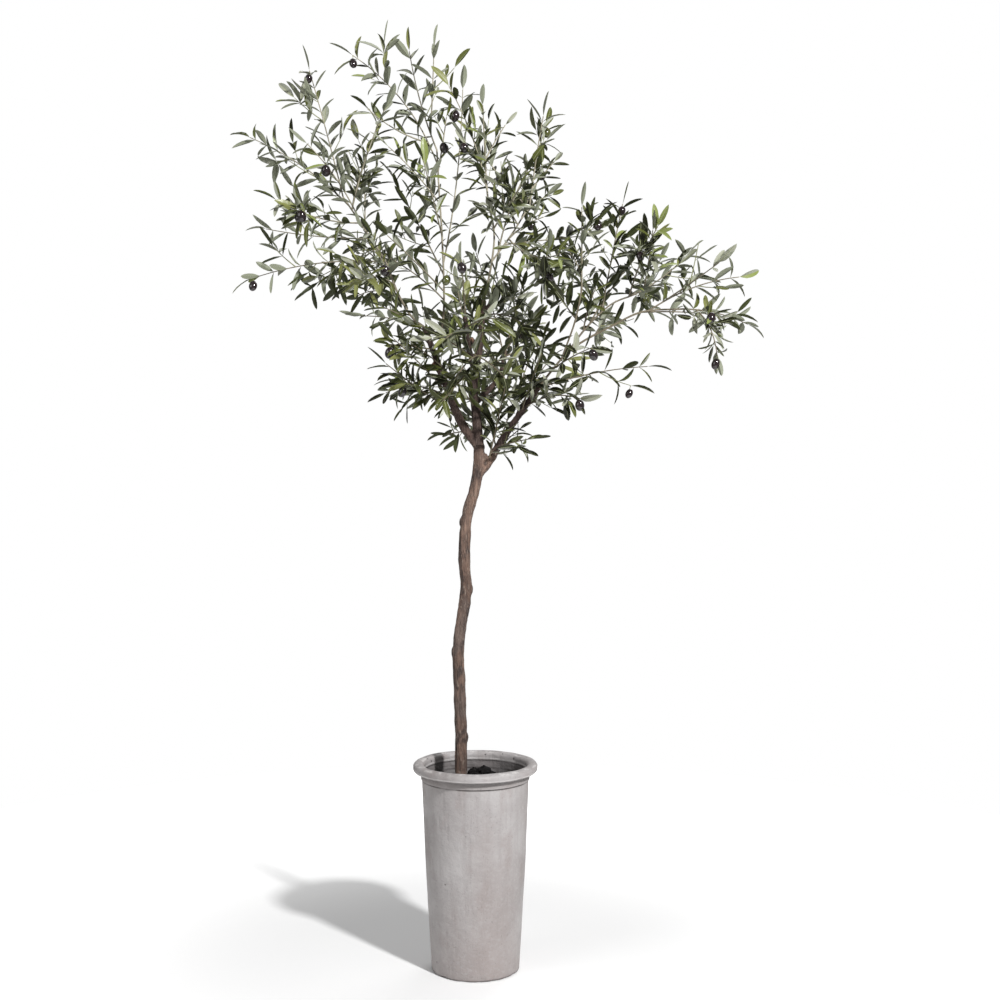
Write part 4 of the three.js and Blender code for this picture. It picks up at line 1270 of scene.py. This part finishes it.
class OLIVETREE_OT_pot(bpy.types.Operator):
    """Makes the tapered pot with its collar and its rolled, slightly uneven rim"""

    bl_idname = "olive_tree.pot"
    bl_label = "Pot"

    def execute(self, context):
        settings = context.scene.olive_tree_pot
        piece = turned_piece("clay_pot", pot_profile(), POT_SIDES)
        upper = piece.vertex_groups.new(name="upper")
        for vertex in piece.data.vertices:
            upper.add([vertex.index], min(1, vertex.co.z / (FOOT_HEIGHT * MM)), "REPLACE")
        for size, share in WAVES:
            texture = bpy.data.textures.new("clay_relief", "CLOUDS")
            texture.noise_scale = size
            strength = settings.unevenness * share
            apply_modifier(piece, "DISPLACE", texture=texture, strength=strength, vertex_group="upper")
            bpy.data.textures.remove(texture)
        piece.vertex_groups.clear()
        self.chip_foot(piece.data)
        bpy.ops.object.shade_smooth_by_angle(angle=math.radians(35))
        piece.data.materials.append(clay_material(settings))
        finished(piece, "pot", "pot")
        return {"FINISHED"}

    def chip_foot(self, mesh):
        """Breaks small chips out of the edge that the pot stands on"""
        for vertex in mesh.vertices:
            x, y, z = vertex.co
            if z > CHIP_HEIGHT * MM or math.hypot(x, y) < CHIP_FREE * POT_BASE_RADIUS * MM:
                continue
            depth = noise.noise(Vector((x * CHIP_GRAIN, y * CHIP_GRAIN, 0))) + CHIP_SHARE
            chipped = max(0, depth) * CHIP_DEPTH * MM
            chipped *= 1 - z / (CHIP_HEIGHT * MM)
            vertex.co.x -= x / math.hypot(x, y) * chipped
            vertex.co.y -= y / math.hypot(x, y) * chipped
            vertex.co.z += CHIP_RISE * chipped


def heap_share(x, y):
    """1 on top of the heap, falling to 0 away from it"""
    away = math.hypot(x - HEAP_MIDDLE[0], y - HEAP_MIDDLE[1])
    return math.exp(-((away / HEAP_SPREAD) ** 2))


def heap_height(x, y):
    """How high the filling stands at a place, in millimetres"""
    return SOIL_LEVEL + HEAP_HEIGHT * heap_share(x, y)


class OLIVETREE_OT_soil(bpy.types.Operator):
    """Makes the filling of the pot and the dark lumps that lie on it"""

    bl_idname = "olive_tree.soil"
    bl_label = "Soil"

    def execute(self, context):
        settings = context.scene.olive_tree_pot
        material = soil_material()
        profile = [(SOIL_RADIUS - SOIL_TAPER, SOIL_BOTTOM)]
        profile += [(SOIL_RADIUS * share, SOIL_LEVEL) for share in SOIL_RINGS]
        piece = turned_piece("soil_bed", profile, SOIL_SIDES)
        for vertex in piece.data.vertices:
            x, y, z = vertex.co
            if z > (SOIL_BOTTOM + 1) * MM:
                relief = SOIL_RELIEF * noise.noise(vertex.co * SOIL_GRAIN)
                vertex.co.z = (heap_height(x / MM, y / MM) + relief) * MM
        bpy.ops.object.shade_smooth_by_angle(angle=math.radians(50))
        piece.data.materials.append(material)
        finished(piece, "soil", "soil")
        self.make_lumps(settings.lumps, material)
        return {"FINISHED"}

    def make_lumps(self, count, material):
        bpy.ops.object.select_all(action="DESELECT")
        bpy.ops.mesh.primitive_ico_sphere_add(subdivisions=2, radius=1)
        model = bpy.context.object
        ball = np.array([vertex.co for vertex in model.data.vertices])
        faces = [tuple(face.vertices) for face in model.data.polygons]
        bpy.data.objects.remove(model)
        random = seeded_random(LUMP_SEED)
        lumps = JoinedMesh()
        for i in range(count):
            turn, away = i * GOLDEN_ANGLE, (SOIL_RADIUS - LUMP_MARGIN) * math.sqrt((i + 0.5) / count)
            x, y = away * math.cos(turn), away * math.sin(turn)
            near = heap_share(x, y)
            size = mix(*LUMP_SIZE, random()) * (1 + LUMP_GROWTH * near)
            length, height = size * mix(1, LUMP_LONGEST, random()), size * mix(LUMP_FLATTEST, 1, random())
            shape = ball * (length, size, height)
            spin = random() * 2 * math.pi
            across, along = shape[:, 0].copy(), shape[:, 1].copy()
            shape[:, 0] = across * math.cos(spin) - along * math.sin(spin)
            shape[:, 1] = across * math.sin(spin) + along * math.cos(spin)
            shift = Vector((LUMP_STEP * i, 0, 0))
            relief = [noise.noise(Vector(point) * LUMP_GRAIN + shift) for point in ball]
            rough = 1 + LUMP_RELIEF * np.array(relief)
            top = heap_height(x, y) + size * (LUMP_RISE + LUMP_STACK * near * random())
            lumps.add(shape * rough[:, None] + (x, y, top), faces, 0)
        lumps.piece("mulch", "soil", [material], smooth_below=20)


# Heights of the rings of a ball, as shares of its radius
BALL_RINGS = (-0.98, -0.87, -0.6, -0.2, 0.2, 0.6, 0.87, 0.98)


def ball_radii(radius):
    return [radius * math.sqrt(1 - height * height) for height in BALL_RINGS]


def limb_rings(limb, size, swell, seed):
    """Points along a limb every few millimetres and its slightly uneven radius there"""
    count = max(4, round(limb.length / LIMB_RING_STEP))
    points, radii = [], []
    for i in range(count + 1):
        share = i / count
        waves = noise.noise(Vector((seed, 0, share * limb.length / SWELL_LENGTH)))
        points.append(limb.point(share))
        radii.append(size * limb.thickness(share) * (1 + swell * waves))
    return points, radii


class OLIVETREE_OT_bark(bpy.types.Operator):
    """Makes the trunk with its knots and the boughs that fork from it as one skin with the bark's relief"""

    bl_idname = "olive_tree.bark"
    bl_label = "Trunk and boughs"

    def execute(self, context):
        settings = context.scene.olive_tree_bark
        limbs = grow_limbs()
        names = ["trunk"] + [name for name in LIMBS if name.endswith("bough")]
        solids = JoinedMesh()
        for seed, name in enumerate(names):
            points, radii = limb_rings(limbs[name], SKIN_SHARE, SKIN_SWELL, SKIN_SEED_STEP * seed)
            solids.add(*tube(points, radii, BOUGH_SIDES), 0)
        fork = limbs["trunk"]
        for at in FORK_BALLS:
            reach = FORK_BALL_SIZE * SKIN_SHARE * fork.thickness(at)
            points = [fork.point(at) + UP * reach * height for height in BALL_RINGS]
            solids.add(*tube(points, ball_radii(reach), BOUGH_SIDES), 0)
        cuts = []
        for name, at, way, length, radius, bare in STUBS:
            root, reach = limbs[name].point(at), limbs[name].thickness(at) + length
            points = [root + unit(np.array(way)) * reach * share for share in (0, 0.5, 1)]
            solids.add(*tube(points, [radius * share for share in STUB_TAPER], STUB_SIDES), 0)
            if bare:
                cuts.append((points[2] * MM, radius * MM))
        piece = solids.piece("trunk_and_boughs", "trunk", [], smooth_below=180)
        knots = self.knot_places(limbs["trunk"])
        self.add_knots(piece, knots)
        apply_modifier(piece, "REMESH", mode="VOXEL", voxel_size=settings.skin_grid)
        apply_modifier(piece, "SMOOTH", factor=0.5, iterations=9)
        self.raise_ridges(piece.data, settings.ridge)
        bpy.ops.object.shade_smooth()
        piece.data.materials.append(bark_material(settings, knots, cuts))
        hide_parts(*names)
        return {"FINISHED"}

    def knot_places(self, trunk):
        places = []
        for at, turn, size in KNOTS:
            away = SKIN_SHARE * trunk.thickness(at) - size * KNOT_SINK
            angle = math.radians(turn)
            place = trunk.point(at) + np.array((away * math.cos(angle), away * math.sin(angle), 0))
            places.append((place * MM, size * MM))
        return places

    def add_knots(self, piece, knots):
        made = []
        for place, size in knots:
            bpy.ops.object.select_all(action="DESELECT")
            bpy.ops.mesh.primitive_ico_sphere_add(subdivisions=3, radius=size, location=place)
            bpy.context.object.scale = (1, 1, KNOT_STRETCH)
            made.append(bpy.context.object)
        make_active(piece)
        for knot in made:
            knot.select_set(True)
        bpy.ops.object.join()

    def raise_ridges(self, mesh, ridge):
        """Moves each point of the skin along its normal: long ridges and flakes"""
        normals = [vertex.normal.copy() for vertex in mesh.vertices]
        for vertex, normal in zip(mesh.vertices, normals):
            long = self.relief(vertex.co, *RIDGE_GRAIN)
            flakes = self.relief(vertex.co, *FLAKE_GRAIN)
            vertex.co += normal * ridge * (RIDGE_SHARE * long + FLAKE_SHARE * flakes)

    def relief(self, place, around, along, moved):
        x, y, z = place
        return noise.fractal(Vector((x * around, y * around, z * along + moved)), *RELIEF_LAYERS)


class OLIVETREE_OT_stems(bpy.types.Operator):
    """Makes the long pale stems that go on from the boughs"""

    bl_idname = "olive_tree.stems"
    bl_label = "Pale stems"

    def execute(self, context):
        settings = context.scene.olive_tree_bark
        limbs = grow_limbs()
        names = [name for name in LIMBS if name.endswith("limb")]
        solids = JoinedMesh()
        for seed, name in enumerate(names):
            points, radii = limb_rings(limbs[name], STEM_SHARE, STEM_SWELL, STEM_SEED_STEP * seed)
            solids.add(*tube(points, radii, STEM_SIDES), 0)
        shade = tuple(STEM_SHADE * part for part in settings.stem)
        material = stem_material("pale_stem", settings.stem, shade, settings.stem_pale_and_lit)
        piece = solids.piece("long_stems", "limb", [material], smooth_below=60)
        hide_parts(*names)
        return {"FINISHED"}


# Shares of a leaf's length and of its full half width, from its stalk to its tip
LEAF_OUTLINE = [(0.06, 0.1), (0.14, 0.42), (0.3, 0.86), (0.52, 1.0), (0.74, 0.86), (0.9, 0.52)]
# The rib's share of the half width, and where along the leaf it would end
RIB_SHARE = 0.1
RIB_END = 1.2
# How much a leaf's face follows its shoot, the sky and chance
FACE_TO_SHOOT = 0.9
FACE_TO_SKY = 0.5
FACE_TO_CHANCE = 1.1
# From and to which share of the full width a leaf is, how far its tip bends down and sways, how it is folded
# and twisted, and what its curve takes from its length
LEAF_WIDTHS = (0.72, 1.24)
LEAF_BENDS = (-0.06, 0.36)
LEAF_SWAY = 0.16
LEAF_FOLDS = (0.25, 0.65)
LEAF_TWIST = 1.2
LEAF_CURVE = 0.08
# A leaf's ring runs from one edge over both sides of the rib to the other edge and under the middle
RING = 5
# Tints of the leaves' upper face and how often a spray takes each, before its draw is leaned
LEAF_TINTS = {
    "leaf_deep": ((0.0165, 0.0185, 0.0048), 0.29),
    "leaf_green": ((0.076, 0.087, 0.019), 0.25),
    "leaf_blue": ((0.13, 0.137, 0.096), 0.12),
    "leaf_olive": ((0.175, 0.186, 0.06), 0.14),
    "leaf_silver": ((0.3, 0.308, 0.24), 0.13),
    "leaf_young": ((0.19, 0.226, 0.066), 0.07),
}
# The slots of a leaf's other surfaces
UNDERSIDE = len(LEAF_TINTS)
DEEP_UNDERSIDE = UNDERSIDE + 1
RIB = UNDERSIDE + 2
SHEEN = UNDERSIDE + 3
# The crown's middle and how far it reaches. From there to its edge the power that leans the draw of a tint
# towards the deep ones falls, and so does the share of dark undersides, and more leaves have a paler half:
# painted shade inside the crown, and painted light and a painted sheen towards its edge.
CROWN_MIDDLE = np.array((130.0, 0.0, 1490.0))
CROWN_REACH = np.array((700.0, 700.0, 640.0))
TINT_SHADE_LEAN = (2.1, 0.52)
SHADED_UNDERSIDE_SHARE = (0.95, 0.25)
SHEEN_SHARE = (0.15, 0.46)
# Twigs thinner than this are green, in these colours: main, shaded, and pale at the top, partly as painted
# light
GREEN_BELOW = 1.6
GREEN_TWIG = ((0.2, 0.21, 0.09), (0.13, 0.13, 0.06), (0.3, 0.31, 0.17))
# Olives: their colours and their blush, and one in so many is still green
RIPE_COLORS = ((0.01, 0.0045, 0.006), (0.028, 0.011, 0.013))
UNRIPE_COLORS = ((0.075, 0.085, 0.018), (0.03, 0.015, 0.018))
UNRIPE_EVERY = 7
# The slots of the olives' materials
RIPE = 0
STALK = 1
UNRIPE = 2
# How far an olive leans aside, from and to how deep its stalk hangs, and the stalk's radii
STALK_LEAN = 8
STALK_DROP = (4, 8)
STALK_RADII = (0.8, 0.7, 0.8)
# The share of the lean that the stalk takes, and how far it bows
STALK_SHARE = 0.6
STALK_BOW = 0.1
# From and to which share of its size an olive is, and how far it slants with the lean
OLIVE_SIZES = (0.9, 1.1)
OLIVE_SLANT = 0.05
# How often a leaf has its spray's tint, and the factor that keeps a draw below the end of the last tint
SPRAY_TINTED = 0.6
BELOW_END = 0.9999
# The roughness of a leaf's upper face, and of its other surfaces in the order of their slots
UPPER_ROUGHNESS = 0.34
OTHER_SURFACES = {"underside": 0.55, "deep_underside": 0.5, "rib": 0.5, "sheen": 0.4}
# Starts of the names of masses, each group with its leaves in one piece
LEAF_PIECES = {
    "leaves_left": ("left", "lower_left", "upper_left", "fork_left"),
    "leaves_top": ("top", "right_top", "front_top", "upper_front"),
    "leaves_right": ("right", "lower_right", "upper_right", "fork_right"),
    "leaves_middle": ("middle", "front", "back", "centre"),
}


def leaf_piece_of(mass):
    """Which piece holds the leaves of a mass: the first with a start that fits its name"""
    return next(piece for piece, starts in LEAF_PIECES.items() if mass.startswith(starts))


def leaf_faces():
    """Faces of one leaf and the strip that each is in, closed at both ends"""
    faces, strips = [], []
    rings = len(LEAF_OUTLINE)
    tip = 1 + RING * rings
    for j in range(RING):
        after = (j + 1) % RING
        faces.append((0, 1 + after, 1 + j))
        for ring in range(rings - 1):
            low, high = 1 + RING * ring, 1 + RING * (ring + 1)
            faces.append((low + j, low + after, high + after, high + j))
        last = 1 + RING * (rings - 1)
        faces.append((last + j, last + after, tip))
        strips += [j] * (rings + 1)
    return faces, strips


LEAF_FACES, LEAF_STRIPS = leaf_faces()


def leaf_points(leaf, settings, random):
    """A folded, curved blade on its stalk"""
    length = leaf.length
    half = settings.leaf_width / 2 * length / settings.leaf_length * mix(*LEAF_WIDTHS, random())
    thick = settings.leaf_thickness / MM / 2
    wobble = np.array([random() - 0.5 for _ in range(3)])
    face = leaf.tangent * FACE_TO_SHOOT + UP * FACE_TO_SKY + wobble * FACE_TO_CHANCE
    face = unit(face - leaf.direction * (face @ leaf.direction))
    across = np.cross(face, leaf.direction)
    bend = length * mix(*LEAF_BENDS, random())
    sway = length * LEAF_SWAY * (random() - 0.5)
    fold = mix(*LEAF_FOLDS, random())
    twist = LEAF_TWIST * (random() - 0.5)

    def place(share, side, lift):
        turn = twist * share
        offset = side * math.cos(turn) - lift * math.sin(turn) + sway * share * share
        height = side * math.sin(turn) + lift * math.cos(turn) - bend * share * share
        ahead = length * share * (1 - LEAF_CURVE * share)
        return leaf.root + leaf.direction * ahead + across * offset + face * height

    points = [place(0, 0, 0)]
    for share, width in LEAF_OUTLINE:
        side = half * width
        edge = fold * side
        rib = half * RIB_SHARE * (RIB_END - share)
        points += [place(share, side, edge), place(share, rib, thick), place(share, -rib, thick)]
        points += [place(share, -side, edge), place(share, 0, -thick)]
    points.append(place(1, 0, 0))
    return np.array(points)


def shoot_rings(curve, radius):
    """Points along a shoot and its radius there"""
    count = max(2, round(curve.length / TWIG_RING_STEP))
    shares = [i / count for i in range(count + 1)]
    points = [curve.point(share) for share in shares]
    return points, [radius * mix(1, TWIG_TAPER, share) for share in shares]


class OLIVETREE_OT_foliage(bpy.types.Operator):
    """Grows every mass of the crown: its twigs, its leaves and the olives that hang from them"""

    bl_idname = "olive_tree.foliage"
    bl_label = "Foliage"

    def execute(self, context):
        settings = context.scene.olive_tree_foliage
        crown = Crown(settings)
        self.make_leaves(crown, settings)
        self.make_twigs(crown, context.scene.olive_tree_bark)
        self.make_olives(crown, settings)
        return {"FINISHED"}

    def make_leaves(self, crown, settings):
        materials, tint_shares = [], []
        for name, (tint, share) in LEAF_TINTS.items():
            materials.append(leaf_material(name, tint, UPPER_ROUGHNESS))
            tint_shares.append(share)
        for name, roughness in OTHER_SURFACES.items():
            materials.append(leaf_material(f"leaf_{name}", getattr(settings, name), roughness))
        random = seeded_random(LEAF_SEED)
        ends = np.cumsum(tint_shares)

        def outward(place):
            return min(1, np.linalg.norm((place - CROWN_MIDDLE) / CROWN_REACH))

        def pick(place):
            chance = random() ** mix(*TINT_SHADE_LEAN, outward(place))
            return int(np.searchsorted(ends, chance * ends[-1] * BELOW_END, side="right"))

        tips = [curve.end for curve, radius in crown.shoots]
        # Tints and undersides leaned by place: painted shade in the crown's inside, painted light at its
        # edge
        spray_tints = [pick(tip) for tip in tips]
        shaded_sprays = [random() < mix(*SHADED_UNDERSIDE_SHARE, outward(tip)) for tip in tips]
        meshes = {name: JoinedMesh() for name in LEAF_PIECES}
        for leaf in crown.leaves:
            tint = spray_tints[leaf.spray] if random() < SPRAY_TINTED else pick(leaf.root)
            points = leaf_points(leaf, settings, random)
            # Some leaves have one half in the painted sheen
            sides = [tint, SHEEN if random() < mix(*SHEEN_SHARE, outward(leaf.root)) else tint]
            if random() < 0.5:
                sides.reverse()
            under = DEEP_UNDERSIDE if shaded_sprays[leaf.spray] else UNDERSIDE
            strips = (sides[0], RIB, sides[1], under, under)
            meshes[leaf_piece_of(leaf.mass)].add(points, LEAF_FACES, [strips[j] for j in LEAF_STRIPS])
        for name, mesh in meshes.items():
            piece = mesh.piece(name, "foliage", materials, smooth_below=22)
            nodes = [f"foliage_{mass}" for mass in MASSES if leaf_piece_of(mass) == name]
            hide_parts(*nodes)

    def make_twigs(self, crown, settings):
        shade = tuple(TWIG_SHADE * part for part in settings.stem)
        stems = stem_material("pale_twig", settings.stem, shade, settings.stem_pale_and_lit)
        young = stem_material("green_twig", *GREEN_TWIG)
        mesh = JoinedMesh()
        for curve, radius in crown.shoots:
            points, radii = shoot_rings(curve, radius)
            mesh.add(*tube(points, radii, TWIG_SIDES), 0 if radius > GREEN_BELOW else 1)
        mesh.piece("twigs", "foliage", [stems, young], smooth_below=60)

    def make_olives(self, crown, settings):
        bpy.ops.object.select_all(action="DESELECT")
        bpy.ops.mesh.primitive_uv_sphere_add(segments=16, ring_count=10, radius=1)
        model = bpy.context.object
        ball = np.array([vertex.co for vertex in model.data.vertices])
        thick, tall = settings.olive_width / MM / 2, settings.olive_length / MM / 2
        ball *= (thick, thick, tall)
        faces = [tuple(face.vertices) for face in model.data.polygons]
        bpy.data.objects.remove(model)
        random = seeded_random(3 * LEAF_SEED)
        mesh = JoinedMesh()
        for index, root in enumerate(self.olive_roots(crown)):
            lean = np.array((random() - 0.5, random() - 0.5, 0)) * STALK_LEAN
            bottom = root + lean * STALK_SHARE - UP * mix(*STALK_DROP, random())
            middle = (root + bottom) / 2 + lean * STALK_BOW
            mesh.add(*tube([root, middle, bottom - UP], STALK_RADII, TWIG_SIDES), STALK)
            centre = bottom + lean * (1 - STALK_SHARE) - UP * (tall - 1)
            slanted = np.outer(ball[:, 2], -OLIVE_SLANT * lean)
            tint = UNRIPE if index % UNRIPE_EVERY == UNRIPE_EVERY - 1 else RIPE
            mesh.add(ball * mix(*OLIVE_SIZES, random()) + slanted + centre, faces, tint)
        ripe = olive_material("ripe_olive", *RIPE_COLORS)
        unripe = olive_material("unripe_olive", *UNRIPE_COLORS)
        stalk = stem_material("olive_stalk", *GREEN_TWIG)
        mesh.piece("olives", "foliage", [ripe, stalk, unripe], smooth_below=60)

    def olive_roots(self, crown):
        """Places on the shoots: those nearest to where the photograph shows olives, and some at the back"""
        curves = [curve for curve, radius in crown.shoots]
        places = np.array([curve.point(share) for curve in curves for share in OLIVE_PLACES])
        pixels = in_photo(places - UP * OLIVE_DROP)
        taken = []
        for olive in OLIVES_IN_PHOTO:
            away = np.maximum(OLIVE_NEAR, np.linalg.norm(pixels - olive, axis=1))
            away += OLIVE_DEPTH_SHARE * places[:, 1]
            for index in taken:
                away[index] += OLIVE_TAKEN
            taken.append(int(away.argmin()))
        roots = [places[index] for index in taken]
        middles = [curve.point(0.5) for curve in curves[::FRUIT_EVERY]]
        return roots + [middle for middle in middles if middle[1] > FRUIT_BEHIND]


# Lamps by the names of their settings: where each stands and its size, and what they all aim at, in metres
LAMPS = {
    "key": ((2.6, -3.8, 3.8), 0.4),
    "fill": ((-3.6, -2.6, 2.4), 3.0),
    "back": ((1.6, 3.6, 4.6), 3.0),
}
LAMP_AIM = (0, 0, 1.3)
# The floor's sides, how far it lies below the pot, and the shares of its radius from which its glow is full
# and over which it fades inwards
FLOOR_SIDES = 96
FLOOR_DROP = 0.0005
GLOW_FULL = 0.96
GLOW_FADE = 0.78


def soft_lamp(name, place, size, power):
    lamp = bpy.data.lights.new(name, "AREA")
    lamp.shape = "DISK"
    lamp.size = size
    lamp.energy = power
    holder = bpy.data.objects.new(name, lamp)
    bpy.context.scene.collection.objects.link(holder)
    holder.location = place
    holder.rotation_euler = (Vector(LAMP_AIM) - Vector(place)).to_track_quat("-Z", "Y").to_euler()


class OLIVETREE_OT_stage(bpy.types.Operator):
    """Sets the plain floor, the soft light and the camera"""

    bl_idname = "olive_tree.stage"
    bl_label = "Stage"

    def execute(self, context):
        settings = context.scene.olive_tree_stage
        bpy.ops.object.select_all(action="DESELECT")
        radius = settings.floor_radius
        bpy.ops.mesh.primitive_circle_add(
            vertices=FLOOR_SIDES, radius=radius, fill_type="NGON", location=(0, 0, -FLOOR_DROP),
        )
        floor = context.object
        floor.name = "floor"
        floor.data.materials.append(self.floor_material(settings))
        for name, (place, size) in LAMPS.items():
            soft_lamp(name, place, size, getattr(settings, name))
        self.light_world(context.scene, settings.sky)
        self.set_camera(context.scene)
        return {"FINISHED"}

    def floor_material(self, settings):
        """A plain floor that glows towards its edge, so that it runs into the backdrop"""
        material, main = shader("plain_floor", settings.floor, 0.9)
        paint = Painter(material, main)
        radius = settings.floor_radius
        near = paint.mask("within", Radius=GLOW_FULL * radius, Edge=GLOW_FADE * radius)
        glow = node(paint.tree, "ShaderNodeMix", data_type="RGBA")
        glow.inputs["A"].default_value = (1, 1, 1, 1)
        glow.inputs["B"].default_value = (0, 0, 0, 1)
        paint.tree.links.new(near, glow.inputs["Factor"])
        paint.tree.links.new(glow.outputs["Result"], main.inputs["Emission Color"])
        path = paint.tree.nodes.new("ShaderNodeLightPath")
        paint.tree.links.new(path.outputs["Is Camera Ray"], main.inputs["Emission Strength"])
        return material

    def light_world(self, scene, strength):
        """Even light, and a white backdrop behind the floor"""
        world = bpy.data.worlds.new("soft_light")
        world.use_nodes = True
        tree = world.node_tree
        light = tree.nodes["Background"]
        light.inputs["Color"].default_value = (1, 1, 1, 1)
        light.inputs["Strength"].default_value = strength
        backdrop = node(tree, "ShaderNodeBackground", Strength=1.0)
        backdrop.inputs["Color"].default_value = (1, 1, 1, 1)
        path = tree.nodes.new("ShaderNodeLightPath")
        both = tree.nodes.new("ShaderNodeMixShader")
        tree.links.new(path.outputs["Is Camera Ray"], both.inputs["Fac"])
        tree.links.new(light.outputs["Background"], both.inputs[1])
        tree.links.new(backdrop.outputs["Background"], both.inputs[2])
        tree.links.new(both.outputs["Shader"], tree.nodes["World Output"].inputs["Surface"])
        scene.world = world
        scene.view_settings.view_transform = "Standard"

    def set_camera(self, scene):
        camera = bpy.data.objects.new("camera", bpy.data.cameras.new("camera"))
        scene.collection.objects.link(camera)
        camera.data.lens = LENS
        camera.data.sensor_width = SENSOR
        camera.location = [part * MM for part in CAMERA_PLACE]
        camera.rotation_euler = (math.pi / 2 - CAMERA_DOWN, 0, 0)
        scene.camera = camera


PARTS = ("pot", "soil", "bark", "stems", "foliage", "stage")
SETTINGS = {
    "olive_tree_pot": OLIVETREE_PG_pot,
    "olive_tree_bark": OLIVETREE_PG_bark,
    "olive_tree_foliage": OLIVETREE_PG_foliage,
    "olive_tree_stage": OLIVETREE_PG_stage,
}


class OLIVETREE_PT_parts(bpy.types.Panel):
    """Lists the parts of the olive tree and their settings"""

    bl_label = "Olive tree"
    bl_idname = "OLIVETREE_PT_parts"
    bl_space_type = "VIEW_3D"
    bl_region_type = "UI"
    bl_category = "Olive tree"

    def draw(self, context):
        for part in PARTS:
            self.layout.operator(f"olive_tree.{part}")
        for name, group in SETTINGS.items():
            box = self.layout.box()
            box.label(text=group.__doc__)
            for setting in group.__annotations__:
                box.prop(getattr(context.scene, name), setting)


CLASSES = (
    *SETTINGS.values(),
    OLIVETREE_OT_pot,
    OLIVETREE_OT_soil,
    OLIVETREE_OT_bark,
    OLIVETREE_OT_stems,
    OLIVETREE_OT_foliage,
    OLIVETREE_OT_stage,
    OLIVETREE_PT_parts,
)


def register():
    for each in CLASSES:
        bpy.utils.register_class(each)
    for name, group in SETTINGS.items():
        setattr(bpy.types.Scene, name, PointerProperty(type=group))


def unregister():
    for name in SETTINGS:
        delattr(bpy.types.Scene, name)
    for each in reversed(CLASSES):
        bpy.utils.unregister_class(each)


def main():
    register()
    for make_group in (cloudy_group, pits_group, band_group, spot_group, within_group):
        make_group()
    for part in PARTS:
        getattr(bpy.ops.olive_tree, part)()
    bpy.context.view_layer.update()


if __name__ == "__main__":
    main()
